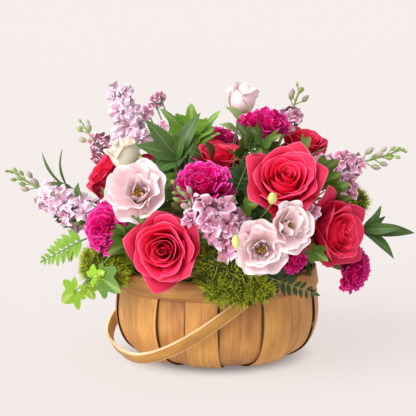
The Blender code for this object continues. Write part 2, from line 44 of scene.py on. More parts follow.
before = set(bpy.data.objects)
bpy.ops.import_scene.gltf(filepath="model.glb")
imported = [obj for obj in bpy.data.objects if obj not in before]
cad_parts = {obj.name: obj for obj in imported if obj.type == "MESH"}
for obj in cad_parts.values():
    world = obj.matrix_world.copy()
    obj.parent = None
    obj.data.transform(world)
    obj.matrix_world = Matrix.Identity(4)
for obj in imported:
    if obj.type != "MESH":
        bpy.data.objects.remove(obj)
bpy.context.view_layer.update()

MM = 0.001
GOLDEN = math.radians(137.508)
FOCUS = np.array([0.0, 0.0, 88.0])  # every stem points away from here, inside the foam
STEM_DEPTH, STEM_PUSH = 34.0, 9.0  # where a level stem is cut, and how much nearer an upright one is
STEM_STEPS = 10
TWIG_DEPTH = 45.0  # where the thin stems of loose leaves and florets start

# Basket, in millimetres, from the part's own driving dimensions.
WALL = [
    (63.5, 0.8), (78.5, 2.6), (89.5, 7.5), (98, 15), (104, 27), (107.3, 43), (106.8, 61), (104.4, 77),
    (101.5, 94),
]
STAVE_THICK, LAYER_GAP, PLAIN_WEAR = 1.2, 1.0, 0.4
STAVE_ROWS, RIM_STEPS, BAIL_STEPS = 34, 144, 96
GRAIN = 0.01  # how far the wood's pattern moves on in a millimetre
RIM_LOW, RIM_HIGH, RIM_THICK, RIM_GAP = 77.0, 95.0, 2.0, 0.9
OVER_STAVES = [(-92, 25), (-47, 24.4), (-8.6, 18), (35, 19), (82, 22), (128, 23), (173, 21), (220, 24)]
UNDER_TUCK = 4.0  # how far, in degrees, an under splint runs behind each neighbour
WIDEST_ROOM, ROOM_SHARE = 44, 0.46
PIVOT_HEIGHT, PIVOT_DIRECTION = 86.0, 20.0
BAIL_DROP, BAIL_REACH, BAIL_HALF_WIDTH, BAIL_SQUARENESS = 34.5, 132.0, 109.6, 2.8
BAND_WIDE, BAND_THICK = 12.0, 3.4
SLOT_START, SLOT_END, SLOT_TOP = 100.0, 117.0, 98.0  # room kept free of moss for the bail's front side

# Name, middle of the bloom's front, the way it faces, radius, roll in degrees.
ROSES = [
    ("rose_front_left", (-54, -134, 135), (-0.14, -0.97, 0.12), 36, 66),
    ("rose_center_right", (67, -116, 209), (0.04, -0.76, 0.64), 37, 30),
    ("rose_right", (130, -88, 144), (0.74, -0.66, 0.10), 36, 200),
    ("rose_left", (-126, 18, 197), (-0.75, -0.10, 0.62), 29, 60),
    ("rose_top", (3, -10, 219), (0.04, -0.30, 0.95), 28, 310),
    ("rose_right_rear", (98, 52, 226), (0.28, -0.25, 0.92), 27, 150),
    ("rose_rear_left", (-72, 122, 176), (-0.42, 0.78, 0.46), 36, 10),
    ("rose_rear_right", (58, 138, 150), (0.34, 0.90, 0.28), 36, 250),
]
CARNATIONS = [
    ("carnation_center", (-13, -85, 206), (-0.04, -0.44, 0.90), 33),
    ("carnation_left", (-120, -79, 151), (-0.60, -0.75, 0.30), 27),
    ("carnation_top", (51, 9, 256), (0.08, 0.22, 0.97), 29),
    ("carnation_right", (152, -52, 94), (0.86, -0.44, -0.22), 24),
    ("carnation_low", (77, -110, 119), (0.42, -0.86, -0.20), 19),
    ("carnation_rear", (-2, 96, 222), (-0.02, 0.62, 0.78), 30),
]
LISIANTHUS = [
    ("lisianthus_left", (-81, -98, 190), (-0.12, -0.90, 0.42), 31, 30),
    ("lisianthus_front", (42, -146, 138), (0.02, -0.99, 0.12), 27, 100),
    ("lisianthus_front_high", (72, -146, 163), (0.40, -0.84, 0.33), 23, 0),
]
LISIANTHUS_BUDS = [
    ("lisianthus_bud_left", (-99, -40, 231), (-0.35, -0.15, 0.92), 17),
    ("lisianthus_bud_top", (32, 44, 281), (0.22, 0.0, 0.97), 17),
]
# Name, foot and tip of the spike, radius of the spike, radius of a floret, share of its length that is open.
STOCKS = [
    ("stock_left", (-133, -26, 155), (-214, -18, 197), 25, 13.0, 0.58),
    ("stock_top_left", (-86, 34, 214), (-106, 44, 280), 26, 13.0, 0.97),
    ("stock_front", (20, -112, 143), (-38, -136, 194), 31, 15.0, 0.74),
    ("stock_top_right", (75, 41, 239), (89, 49, 277), 15, 10.0, 0.52),
    ("stock_right", (88, -2, 194), (194, -4, 217), 23, 13.0, 0.60),
    ("stock_rear", (-118, 78, 196), (-150, 108, 232), 20, 10.0, 0.6),
]
# Name, the stem's way points, leaves as (share along the stem, tip, width).
LEAF_SPRAYS = [
    (
        "ruscus_top", [(-40, -44, 196), (-41, -50, 214)],
        [
            (1.0, (-72, -54, 253), 17), (0.98, (-82, -60, 228), 17), (1.0, (-17, -46, 259), 17),
            (0.9, (-21, -54, 235), 14), (0.9, (-62, -66, 201), 15), (0.95, (-34, -60, 238), 12),
        ],
    ),
    (
        "ruscus_right", [(136, -26, 132), (150, -34, 137)],
        [
            (0.95, (168, -34, 162), 13), (1.0, (203, -36, 134), 14), (0.95, (182, -42, 107), 13),
            (1.0, (187, -48, 141), 12), (0.9, (174, -26, 150), 9),
        ],
    ),
]
IVY_SPRAYS = [
    (
        "leaf_spray_top", [(-22, 22, 212), (-26, 22, 226)],
        [
            (1.0, (-58, 14, 258), 34), (1.0, (-28, 14, 262), 36), (0.9, (2, 18, 256), 30),
            (0.8, (2, 2, 234), 26), (0.8, (-62, 2, 236), 30), (0.9, (-36, -4, 240), 26),
        ],
    ),
    (
        "ivy_top", [(44, -22, 214), (47, -24, 230)],
        [
            (1.0, (34, -34, 242), 26), (0.9, (64, -42, 236), 26), (0.8, (43, -48, 218), 22),
            (0.7, (70, -36, 222), 20),
        ],
    ),
    (
        "ivy_center", [(-87, -92, 141)],
        [
            (1.0, (-98, -114, 156), 26), (0.9, (-106, -118, 130), 28), (0.8, (-84, -110, 122), 22),
            (1.0, (-70, -104, 166), 22),
        ],
    ),
    (
        "ivy_left", [(-97, -88, 126), (-121, -94, 104), (-138, -76, 86)],
        [
            (0.66, (-96, -124, 92), 32), (1.0, (-160, -58, 66), 32), (0.9, (-124, -82, 74), 24),
            (0.8, (-112, -106, 108), 22),
        ],
    ),
]
IVY_FINISHES = ("Bright leaf", "Ivy leaf", "Ivy leaf", "Young ivy leaf")
FERNS = [
    ("fern_left", (-139, -34, 126), (-181, -30, 103), 30),
    ("fern_right", (49, -110, 104), (97, -112, 87), 22),
]
# Each cushion of moss: middle, radii, number of threads, finish.
MOSS = {
    "moss_front": ((12, -98, 108), (34, 26, 30), 6500, "Moss threads"),
    "moss_left": ((-113, -50, 104), (25, 23, 20), 6500, "Sunlit moss threads"),
    "moss_right": ((143, -6, 161), (13, 13, 13), 2600, "Sunlit moss threads"),
}


# ---------------------------------------------------------------- settings


def colour_setting(name, description, default):
    return bpy.props.FloatVectorProperty(
        name=name, description=description, subtype="COLOR", size=3, default=default
    )


class BasketSettings(bpy.types.PropertyGroup):
    """Colours and sizes of the wooden basket."""

    splint: colour_setting("Splint", "Lit colour of the basket's wood", (0.635, 0.300, 0.079))
    splint_dark: colour_setting("Splint grain", "Dark lines in the wood", (0.27, 0.095, 0.022))
    bail: colour_setting("Handle", "Lit colour of the handle's wood", (0.53, 0.255, 0.052))
    edge_round: bpy.props.FloatProperty(
        name="Edge rounding", description="How far a splint's edges are worn back", unit="LENGTH",
        default=0.0004,
    )


class FlowerSettings(bpy.types.PropertyGroup):
    """Colours of the flowers and greens."""

    rose: colour_setting("Rose", "Lit colour of the rose petals", (0.80, 0.020, 0.095))
    carnation: colour_setting("Carnation", "Lit colour of the carnations", (0.84, 0.0, 0.27))
    lisianthus: colour_setting("Lisianthus", "Lit colour of the lisianthus", (1.0, 0.79, 0.82))
    stock: colour_setting("Stock", "Lit colour of the stock florets", (0.64, 0.26, 0.40))
    leaf: colour_setting("Leaf", "Colour of the leaves", (0.062, 0.13, 0.024))
    moss: colour_setting("Moss tips", "Colour of the moss's tips", (0.56, 0.64, 0.042))
    filler_leaves: bpy.props.IntProperty(
        name="Filler leaves", description="Leaves tucked in between the stems", default=420, min=0
    )


class StageSettings(bpy.types.PropertyGroup):
    """Camera and floor."""

    elevation: bpy.props.FloatProperty(
        name="Camera elevation", description="Angle above the level", subtype="ANGLE",
        default=math.radians(9.5),
    )
    distance: bpy.props.FloatProperty(
        name="Camera distance", description="From the arrangement's middle", unit="LENGTH", default=1.5
    )
    lens: bpy.props.FloatProperty(name="Lens", description="Focal length in millimetres", default=123.6)


def basket_settings():
    return bpy.context.scene.flower_basket_wood


def flower_settings():
    return bpy.context.scene.flower_basket_flowers


def stage_settings():
    return bpy.context.scene.flower_basket_stage


# ---------------------------------------------------------------- mesh making


def vec(values):
    return np.asarray(values, dtype=float)


def unit(v):
    v = vec(v)
    return v / np.linalg.norm(v)


def pairs(across, along):
    """Two arrays spread over each other, as one array of pairs."""
    return np.stack(np.broadcast_arrays(across, along), axis=-1)


class Pile:
    """The vertices, faces and marks of one piece while it is being made, in millimetres."""

    def __init__(self):
        self.verts, self.uvs, self.tones, self.edges, self.faces, self.slots = [], [], [], [], [], []
        self.count = 0

    def grid(self, points, tone=0.5, slot=0, uv=None, closed=False, edges=0.0):
        """Adds a sheet of rows by columns of points.

        uv holds (across, along) for each point. slot and edges may hold one value for each column.
        """
        rows, cols = points.shape[:2]
        if uv is None:
            uv = pairs(np.linspace(0, 1, cols), np.linspace(0, 1, rows)[:, None])
        index = self.count + np.arange(rows * cols).reshape(rows, cols)
        right = np.roll(index, -1, axis=1) if closed else index[:, 1:]
        left = index if closed else index[:, :-1]
        quads = np.stack([left[:-1], right[:-1], right[1:], left[1:]], axis=-1).reshape(-1, 4)
        self.verts.append(points.reshape(-1, 3))
        self.uvs.append(uv.reshape(-1, 2))
        self.tones.append(np.full(rows * cols, tone))
        self.edges.append(np.broadcast_to(edges, (rows, cols)).reshape(-1))
        self.faces.extend(quads.tolist())
        self.slots.extend(np.broadcast_to(slot, (rows - 1, len(quads) // (rows - 1))).reshape(-1).tolist())
        self.count += rows * cols
        return index

    def cap(self, ring, slot=0):
        """Closes a row of points that was added before."""
        self.faces.append([int(i) for i in ring])
        self.slots.append(slot)

    def build(self, name, finishes, record_slot, body="basket", stands_for=None):
        """Makes the piece, lets it ride on a body and, where it has one, takes its solid's place."""
        mesh = bpy.data.meshes.new(name)
        verts = np.concatenate(self.verts) * MM
        mesh.from_pydata(verts.tolist(), [], self.faces)
        for finish in finishes:
            mesh.materials.append(finish)
        mesh.polygons.foreach_set("material_index", self.slots)
        corner = np.zeros(len(mesh.loops), dtype=np.int32)
        mesh.loops.foreach_get("vertex_index", corner)
        layer = mesh.uv_layers.new(name="UVMap")
        layer.data.foreach_set("uv", np.concatenate(self.uvs)[corner].astype(np.float32).ravel())
        for label, values in (("tone", self.tones), ("edge", self.edges)):
            mark = mesh.attributes.new(label, "FLOAT", "POINT")
            mark.data.foreach_set("value", np.concatenate(values).astype(np.float32))
        mesh.shade_smooth()
        piece = bpy.data.objects.new(name, mesh)
        bpy.context.collection.objects.link(piece)
        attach(piece, body)
        if stands_for:
            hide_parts(stands_for)
        return piece


def start_piece(name):
    """The random numbers that belong to a name, and an empty pile."""
    return np.random.default_rng(sum(map(ord, name))), Pile()


def facing_turn(facing, roll=0.0):
    """A rotation whose third column is the way a bloom faces."""
    z = unit(facing)
    x = unit(np.cross((0.0, 0.0, 1.0), z)) if abs(z[2]) < 0.98 else np.array([1.0, 0.0, 0.0])
    y = np.cross(z, x)
    c, s = math.cos(roll), math.sin(roll)
    return np.column_stack([x * c + y * s, y * c - x * s, z])


def small_turn(rng, angle):
    """A random rotation of about that many radians about a level axis."""
    a, b = rng.normal(0, angle, 2)
    return np.array([[1, 0, b], [0, 1, -a], [-b, a, 1]])


def curve_points(control, t):
    """Points of a cubic Bezier at the values t, which may be an array of any shape."""
    control = vec(control)
    t = vec(t)[..., None]
    s = 1 - t
    return control[0] * s**3 + control[1] * 3 * s * s * t + control[2] * 3 * s * t * t + control[3] * t**3


def smooth_line(points, first_way):
    """A curve through way points that leaves the first one along first_way."""
    points = [vec(p) for p in points]
    line = [points[0]]
    for i in range(len(points) - 1):
        a, b = points[i], points[i + 1]
        reach = np.linalg.norm(b - a) / 3
        leave = first_way if i == 0 else unit(b - points[i - 1])
        arrive = unit(points[i + 2] - a) if i + 2 < len(points) else unit(b - a)
        line.extend(curve_points([a, a + leave * reach, b - arrive * reach, b], np.linspace(0, 1, 7)[1:]))
    return np.array(line)


def frames_along(line):
    """Two square directions at each point of a line, with little twist."""
    frames, side = [], None
    for i in range(len(line)):
        along = unit(line[min(i + 1, len(line) - 1)] - line[max(i - 1, 0)])
        if side is None:
            side = np.cross(along, (0.0, 0.0, 1.0) if abs(along[2]) < 0.9 else (1.0, 0.0, 0.0))
        side = unit(side - along * side.dot(along))
        frames.append((side, np.cross(along, side)))
    return frames


def tube(pile, line, radius, slot=0, sides=8):
    """A round stem along a line, closed at both ends. radius may be one number or one for each point."""
    angles = np.linspace(0, 2 * math.pi, sides, endpoint=False)
    rings = []
    for point, r, (u, v) in zip(line, np.broadcast_to(radius, len(line)), frames_along(line)):
        rings.append(point + r * (np.outer(np.cos(angles), u) + np.outer(np.sin(angles), v)))
    index = pile.grid(np.array(rings), slot=slot, closed=True)
    pile.cap(index[0][::-1], slot)
    pile.cap(index[-1], slot)


def cut_end(point):
    """Where the stem that leads to a point is cut, inside the foam, and the way it leaves."""
    away = vec(point) - FOCUS
    away[2] = max(away[2], 0.06 * np.linalg.norm(away))
    away = unit(away)
    return FOCUS + away * (STEM_DEPTH - STEM_PUSH * away[2]), away


def stem_line(base, facing):
    """The way a stem takes from its cut end in the foam to the foot of its head."""
    base, facing = vec(base), unit(facing)
    start, away = cut_end(base)
    pull = np.linalg.norm(base - start) / 3
    control = [start, start + away * pull, base - facing * pull, base]
    return curve_points(control, np.linspace(0, 1, STEM_STEPS + 1))


def tapering(thick, start, end):
    """The radii of a stem that goes on into a spike or a frond, for each of its points."""
    return np.concatenate([np.full(STEM_STEPS + 1, thick), np.linspace(start, end, STEM_STEPS + 1)])


def twig(pile, foot):
    """A thin straight stem from inside the bunch to a point."""
    tube(pile, np.linspace(FOCUS + unit(vec(foot) - FOCUS) * TWIG_DEPTH, foot, 5), 0.8, 1, 5)


def cupped_petal(pile, place, angle, spread, profile, shape, rng, tone=0.5, slot=0, cols=9, rows=8):
    """One petal that wraps round the bloom's axis.

    profile is four (radius, height) control points. shape holds: drop and power, which cut the outline's
    corners; curl, how far the sides bend out; lip, how far the rim rolls out; ruffle, flutter and waves
    along the rim; lean, a small random tilt.
    """
    u = np.linspace(-1, 1, cols)
    s = 1 - (1 - np.linspace(0, 1, rows)) ** 1.5
    across, up = np.meshgrid(u, s)
    along = up * (1 - shape["drop"] * np.abs(across) ** shape["power"])
    section = curve_points([(r, z, 0) for r, z in profile], along)
    phase = rng.uniform(0, 6.28)
    beat = shape["waves"] * math.pi * across
    wave = shape["ruffle"] * up**3 * np.sin(beat + phase)
    wave = wave + 0.5 * shape["ruffle"] * up**2 * np.sin(4.1 * across + 2.3 * phase)
    roll = ((up - 0.8) / 0.2).clip(0) ** 1.5 * shape.get("lip", 0.0)
    side = shape["curl"] * np.abs(across) ** 2.5 * up**2
    radius = section[..., 0] + side + wave + roll
    height = section[..., 1] - 0.8 * side - 0.5 * roll
    height = height + 0.7 * shape["ruffle"] * up**3 * np.cos(shape["waves"] * 0.8 * math.pi * across + phase)
    height = height + shape.get("flutter", 0.0) * up**2 * np.sin(beat + 1.7 * phase)
    turn = angle + spread * across * (1 - 0.12 * up)
    local = np.stack([radius * np.cos(turn), radius * np.sin(turn), height], axis=-1)
    foot = np.array([0, 0, profile[0][1]])
    local = (local - foot) @ small_turn(rng, shape["lean"]).T + foot
    pile.grid(place(local), tone, slot, uv=pairs(across / 2 + 0.5, up))


def placer(centre, turn, size):
    """A function that takes local points, with 1 as the bloom's radius, to their place."""
    return lambda local: vec(centre) + (local * size) @ turn.T


# ---------------------------------------------------------------- flowers


ROSE_ROLLED, CARNATION_PETALS, BUD_PETALS = 17, 64, 9
# Rings of a rose's guard petals: rim radius, height, how far they spread, first direction in degrees, tone,
# drop, power, curl. The tones are painted light and shade: lighter on the inner rings, darker on the outer.
ROSE_GUARDS = [
    (0.62, -0.05, 0.02, 36, 0.75, 0.28, 1.5, 0.05),
    (0.74, -0.12, 0.05, 4, 0.45, 0.40, 1.25, 0.10),
    (0.86, -0.26, 0.15, 40, 0.10, 0.60, 1.1, 0.20),
]


def rose_petals(pile, place, rng):
    """A spiral of rolled petals, then three rings of broad guard petals, the last ones curled to a point."""
    for i in range(ROSE_ROLLED):
        t = i / (ROSE_ROLLED - 1)
        rim = 0.045 + 0.52 * t**1.15 + rng.normal(0, 0.008)
        top = 0.03 - 0.20 * rim**2 + rng.normal(0, 0.015)
        profile = [(0.04, -0.95), (0.12 + rim * 0.85, -0.80), (rim * 0.92, top - 0.20), (rim, top)]
        shape = dict(drop=0.10 + 0.22 * t, power=1.7, curl=0.02, lip=0.010 + 0.05 * t,
                     ruffle=0.006 + 0.02 * t, waves=1.6, lean=0.03)
        spread = math.radians(112 - 46 * t)
        # A high tone paints light into the shaded heart of the bloom.
        cupped_petal(pile, place, i * GOLDEN, spread, profile, shape, rng, rng.uniform(0.8, 1.3), 0, 15, 11)
    for rim, top, out, start, tone, drop, power, curl in ROSE_GUARDS:
        for k in range(5):
            reach = (rim + out) * rng.uniform(0.93, 1.05 + out)
            height = top + rng.normal(0, 0.05)
            shoulder = (rim * 0.84 + 0.3 * out, height + 0.04)
            profile = [(0.08, -1.0), (0.60 + out, -0.98), shoulder, (reach, height)]
            shape = dict(drop=drop, power=power, curl=curl, lip=0.05 + 0.2 * curl,
                         ruffle=0.022, waves=1.4, lean=0.06)
            angle = math.radians(72 * k + start) + rng.normal(0, 0.13)
            shade = rng.uniform(0, 0.25) + tone
            cupped_petal(pile, place, angle, math.radians(55), profile, shape, rng, shade, 0, 21, 15)


def sepals(pile, place, rng, length, foot):
    """Five narrow green leaves under a bloom."""
    shape = dict(drop=0.7, power=1.1, curl=0.0, ruffle=0.01, waves=2, lean=0.08)
    profile = [(0.08, foot), (0.30, foot + 0.05), (0.55 * length, foot + 0.22), (0.85 * length, foot + 0.10)]
    for i in range(5):
        cupped_petal(pile, place, i * 2 * math.pi / 5, 0.45, profile, shape, rng, 0.5, 1, 5, 6)


def bulb(pile, place, profile, slot, sides=12, tone=0.5):
    """A small turned form about the bloom's axis, from (radius, height) points."""
    angles = np.linspace(0, 2 * math.pi, sides, endpoint=False)
    rings = np.array([[(r * math.cos(a), r * math.sin(a), z) for a in angles] for r, z in profile])
    pile.grid(place(rings), tone, slot, closed=True)


def rose_head(pile, place, rng):
    rose_petals(pile, place, rng)
    sepals(pile, place, rng, 0.9, -1.06)
    bulb(pile, place, [(0.03, -1.28), (0.11, -1.22), (0.15, -1.12), (0.12, -1.0), (0.05, -0.96)], 1)


def fan_petal(pile, place, angle, end, width, rng, tone):
    """A frilled petal of a carnation: a narrow claw that opens into a crumpled fan with a toothed rim."""
    root, frill = (0.05, -0.50), 0.085
    across, up = np.meshgrid(np.linspace(-1, 1, 19), 1 - (1 - np.linspace(0, 1, 8)) ** 1.4)
    teeth = 0.075 * np.abs(np.sin(across * 8 + rng.uniform(0, 3))) * up**6
    along = np.clip(up * (1 - 0.14 * np.abs(across) ** 2.2) - teeth, 0, 1)
    middle = [root, (0.06 + 0.25 * end[0], root[1] + 0.35), (end[0] * 0.78, end[1] * 0.90 + 0.04), end]
    control = [(r, z, 0) for r, z in middle]
    section = curve_points(control, along)
    way = curve_points(control, along + 0.02) - section
    way /= np.maximum(np.linalg.norm(way, axis=-1, keepdims=True), 1e-9)
    phase, beat = rng.uniform(0, 6.28), rng.uniform(4.2, 6.2)
    wave = frill * up**2.2 * (np.sin(across * beat + phase) + 0.42 * np.sin(across * 13 + 2 * phase))
    radius = section[..., 0] - way[..., 1] * wave
    height = section[..., 1] + way[..., 0] * wave
    side = width * (across + 0.22 * np.sin(across * beat * 1.6 + phase) * up**2) * up**0.85
    c, d = math.cos(angle), math.sin(angle)
    local = np.stack([radius * c - side * d, radius * d + side * c, height], axis=-1)
    foot = np.array([0, 0, root[1]])
    local = (local - foot) @ small_turn(rng, 0.10).T + foot
    pile.grid(place(local), tone, uv=pairs(across / 2 + 0.5, up))


def carnation_head(pile, place, rng):
    """A ball of frilled petals over a green cup."""
    for i in range(CARNATION_PETALS):
        t = (i + 0.5) / CARNATION_PETALS
        tilt = math.radians(6 + 104 * t**0.75)
        reach = rng.uniform(0.84, 1.06)
        end = (math.sin(tilt) * reach, math.cos(tilt) * 0.66 * reach)
        fan_petal(pile, place, i * GOLDEN, end, 0.34 + 0.12 * t, rng, rng.uniform(0, 1))
    bulb(pile, place, [(0.10, -1.15), (0.19, -1.05), (0.21, -0.7), (0.19, -0.45), (0.05, -0.42)], 1)


# Rings of a lisianthus's petals: how many, rim radius, height, half width and first direction in degrees.
LISIANTHUS_RINGS = [
    (5, 1.00, -0.16, 52, 0), (5, 0.80, 0.0, 54, 36), (4, 0.46, 0.06, 64, 20), (3, 0.27, -0.06, 78, 0),
]


def lisianthus_petals(pile, place, rng):
    """A loose open bowl: five broad outer petals, five taller ones between them and a wrapped set within."""
    for ring, (count, rim, top, width, start) in enumerate(LISIANTHUS_RINGS):
        for k in range(count):
            reach = rim * rng.uniform(0.94, 1.08)
            lift = top + rng.normal(0, 0.06)
            profile = [(0.05, -0.95), (0.22 + 0.45 * rim, -0.90), (rim * 0.86, lift - 0.36), (reach, lift)]
            shape = dict(drop=0.20, power=2.6, curl=0.02, lip=0.08 - 0.02 * ring, ruffle=0.045,
                         flutter=0.10 - 0.015 * ring, waves=rng.uniform(1.7, 2.6), lean=0.12)
            angle = math.radians(360 / count * k + start) + rng.normal(0, 0.14)
            tone = rng.uniform(0, 1)
            cupped_petal(pile, place, angle, math.radians(width), profile, shape, rng, tone, 0, 21, 14)


def stamens(pile, place, rng):
    """Orange anthers round an olive stigma, deep in a lisianthus's throat."""
    bulb(pile, place, [(0.02, -0.8), (0.04, -0.55), (0.06, -0.40), (0.05, -0.34), (0.01, -0.32)], 2)
    for i in range(6):
        a = i * math.pi / 3
        foot = np.array([0.05 * math.cos(a), 0.05 * math.sin(a), -0.75])
        tip = np.array([0.14 * math.cos(a), 0.14 * math.sin(a), -0.30 + rng.normal(0, 0.04)])
        line = place(np.linspace(foot, tip, 5))
        size = np.linalg.norm(line[-1] - line[0])
        tube(pile, line, np.array([0.03, 0.03, 0.06, 0.12, 0.03]) * size, 3, 6)


def lisianthus_head(pile, place, rng):
    lisianthus_petals(pile, place, rng)
    stamens(pile, place, rng)
    sepals(pile, place, rng, 0.5, -0.88)


def bud_head(pile, place, rng):
    """Half-closed petals wound round each other, the outer ones' wavy rims turned out."""
    for i in range(BUD_PETALS):
        t = i / (BUD_PETALS - 1)
        rim = 0.14 + 0.66 * t
        top = 0.08 - 0.30 * t + rng.normal(0, 0.07)
        profile = [(0.10, -1.9), (1.0 + 0.1 * t, -1.75), (0.80 * rim + 0.26, -0.62), (rim, top)]
        shape = dict(drop=0.20, power=1.9, curl=0.03, lip=0.05 + 0.22 * t,
                     ruffle=0.05, flutter=0.06, waves=1.8, lean=0.06)
        tone = rng.uniform(0, 1)
        cupped_petal(pile, place, i * GOLDEN, math.radians(72), profile, shape, rng, tone, 0, 17, 13)
    sepals(pile, place, rng, 1.1, -2.0)


# Kinds of bloom: what makes its head, how far the head's middle lies behind the bloom's front, its size and
# how far back its stem ends (all three as shares of the radius), the stem's radius, and its slot.
BLOOM_KINDS = {
    "rose": (rose_head, 0, 1, 1.22, 2.6, "rose_petal"),
    "carnation": (carnation_head, 0.62, 1, 1.72, 2.0, "carnation_petal"),
    "lisianthus": (lisianthus_head, 0, 0.92, 1.02, 1.6, "lisianthus_petal"),
    "bud": (bud_head, 0, 1, 2.05, 1.6, "lisianthus_petal"),
}


def make_bloom(kind, finishes, name, front, facing, radius, roll=0):
    """One bloom with its stem."""
    make_head, sink, size, neck, thick, record_slot = BLOOM_KINDS[kind]
    rng, pile = start_piece(name)
    turn = facing_turn(facing, math.radians(roll))
    make_head(pile, placer(front - unit(facing) * radius * sink, turn, radius * size), rng)
    tube(pile, stem_line(front - unit(facing) * radius * neck, facing), thick, 1)
    pile.build(f"{name}_bloom", finishes, record_slot, stands_for=name)


FLORET_STEP = 3.3  # how much of a spike's length each floret or bud takes up


def floret(pile, centre, facing, radius, rng, slot=0):
    """One double floret of stock: broad, waved outer petals round a few short crumpled inner ones."""
    place = placer(centre, facing_turn(facing, rng.uniform(0, 6.28)), radius)
    tone = rng.uniform(0, 1)
    for count, rim, lift, spread, flutter in ((3, 0.46, 0.12, 60, 0.14), (4, 1.0, 0.0, 50, 0.20)):
        for k in range(count):
            reach = rim * rng.uniform(0.84, 1.12)
            edge = lift - 0.20 + rng.normal(0, 0.14)
            profile = [(0.04, -0.55), (0.10, -0.30), (reach * 0.6, lift + 0.16), (reach, edge)]
            shape = dict(drop=0.14, power=4.0, curl=0.02, ruffle=0.045, flutter=flutter,
                         waves=rng.uniform(1.3, 2.1), lean=0.20)
            angle = 2 * math.pi * (k + rim) / count + rng.normal(0, 0.16)
            shade = tone + rng.uniform(-0.25, 0.25)
            cupped_petal(pile, place, angle, math.radians(spread), profile, shape, rng, shade, slot, 13, 9)


def bud(pile, foot, way, length, slot, rng, sides=8):
    """A plump pointed bud on a short stalk."""
    place = placer(foot, facing_turn(way), length)
    profile = [(0.06, -0.1), (0.24, 0.12), (0.32, 0.40), (0.26, 0.72), (0.05, 1.0)]
    bulb(pile, place, profile, slot, sides, rng.uniform(0, 1))


def make_stock(finishes, name, start, tip, radius, petal, open_share):
    """A spike of stock: florets up to open_share of its length, then green buds that shrink to the tip."""
    rng, pile = start_piece(name)
    start, tip = vec(start), vec(tip)
    axis = tip - start
    way = unit(axis)
    turn = facing_turn(way)
    sag = np.array([0, 0, 0.06]) * np.linalg.norm(axis)
    control = [start, start + axis * 0.33 - sag, start + axis * 0.66 - sag, tip]
    spike = curve_points(control, np.linspace(0, 1, STEM_STEPS + 2))
    line = np.concatenate([stem_line(start, way), spike[1:]])
    tube(pile, line, tapering(1.8, 1.7, 0.8), 1)
    count = int(np.linalg.norm(axis) / FLORET_STEP)
    for i in range(count):
        share = (i + 0.3) / count
        place = point_at(spike, share)
        out = turn @ np.array([math.cos(i * GOLDEN), math.sin(i * GOLDEN), 0])
        if share < open_share:
            size = petal * (1 - 0.25 * share) * rng.uniform(0.85, 1.15)
            centre = place + out * (radius - petal * 0.6) * (1 - 0.45 * share) * rng.uniform(0.7, 1.1)
            seen_side = -0.35 if start[1] < 60 else 0.3
            look = out + way * 0.35 + rng.normal(0, 0.3, 3) + np.array([0, seen_side, 0.1])
            floret(pile, centre, look, size, rng)
            tube(pile, np.linspace(place - way * 4, centre - out * size * 0.3, 4), 0.7, 1, 5)
        else:
            fade = 1 - (share - open_share) / (1 - open_share)
            foot = place + out * (2.5 + 5.5 * fade) + way * (2 + 3 * fade)
            tube(pile, np.linspace(place - way * 2, foot, 4), 0.6, 1, 5)
            bud(pile, foot, out * 0.5 + way, 4.5 + 6 * fade, 2 if fade > 0.6 else 1, rng)
    pile.build(f"{name}_spike", finishes, "stock_petal", stands_for=name)


# ---------------------------------------------------------------- greens


def leaf_face(base, tip):
    """The way a leaf turns its face: outward from the middle, and more level than its place is."""
    middle = (base + tip) / 2 - FOCUS
    front = -45 if middle[1] < 50 else 25
    return np.array([middle[0] * 0.55, middle[1] * 0.9 + front, middle[2] * 0.45])


def leaf_axes(base, tip, face):
    """A leaf's foot, its length as a vector and as a number, the way its face looks, and its side."""
    base, tip = vec(base), vec(tip)
    along = tip - base
    length = np.linalg.norm(along)
    outward = leaf_face(base, tip) if face is None else face
    outward = unit(outward - along * outward.dot(along) / length**2)
    return base, along, length, outward, np.cross(unit(along), outward)


def leaf_blade(pile, base, tip, width, rng, slot=0, lift=0.12, fold=0.25, cols=7, rows=10, face=None):
    """A pointed leaf with a folded midrib that arches from base to tip."""
    base, along, length, outward, side = leaf_axes(base, tip, face)
    across, up = np.meshgrid(np.linspace(-1, 1, cols), np.linspace(0, 1, rows))
    half = 0.5 * width * (np.sin(math.pi * up**0.78) ** 0.9 + 0.02)
    twist = rng.normal(0, 0.12) * up
    arch = lift * length * np.sin(math.pi * up) + fold * half * (np.abs(across) - 0.5)
    arch = arch + 0.03 * width * np.sin(up * 9 + rng.uniform(0, 6)) * across
    points = base + up[..., None] * along + (across * half)[..., None] * side
    points = points + (arch + twist * across * half)[..., None] * outward
    pile.grid(points, rng.uniform(0, 1), slot)


# Lobes of an ivy leaf: direction in degrees, length.
IVY_LOBES = [(0, 1.0), (58, 0.80), (-58, 0.80), (118, 0.56), (-118, 0.56)]


def ivy_blade(pile, base, tip, width, rng, slot=0):
    """A five-lobed ivy leaf, fanned out from the end of its stalk."""
    base, along, length, outward, side = leaf_axes(base, tip, None)
    foot, reach = base + along * 0.24, length * 0.76
    angles = np.radians(np.linspace(-150, 150, 41))
    radius = 0.50 - 0.30 * (np.abs(angles) / math.radians(150)) ** 3
    for middle, size in IVY_LOBES:
        off = np.clip(np.abs(angles - math.radians(middle)) * 1.35 / (math.pi / 2), 0, 1)
        radius = np.maximum(radius, size * (1 - off**1.05) + 0.02)
    rows = np.linspace(0.0, 1.0, 6)
    spread = np.outer(rows, radius)
    x = spread * np.cos(angles) * reach
    y = spread * np.sin(angles) * reach * width / length * 1.05
    cup = 0.14 * (spread * reach) * np.cos(4 * angles) * 0.25 - 0.10 * reach * spread**2
    cup = cup + rng.normal(0, 0.3, cup.shape)
    points = foot + x[..., None] * unit(along) + y[..., None] * side + cup[..., None] * outward
    uv = pairs(angles / math.radians(300) + 0.5, rows[:, None])
    pile.grid(points, rng.uniform(0, 1), slot, uv=uv)
    tube(pile, np.linspace(base, foot, 4), 0.6, 1, 5)


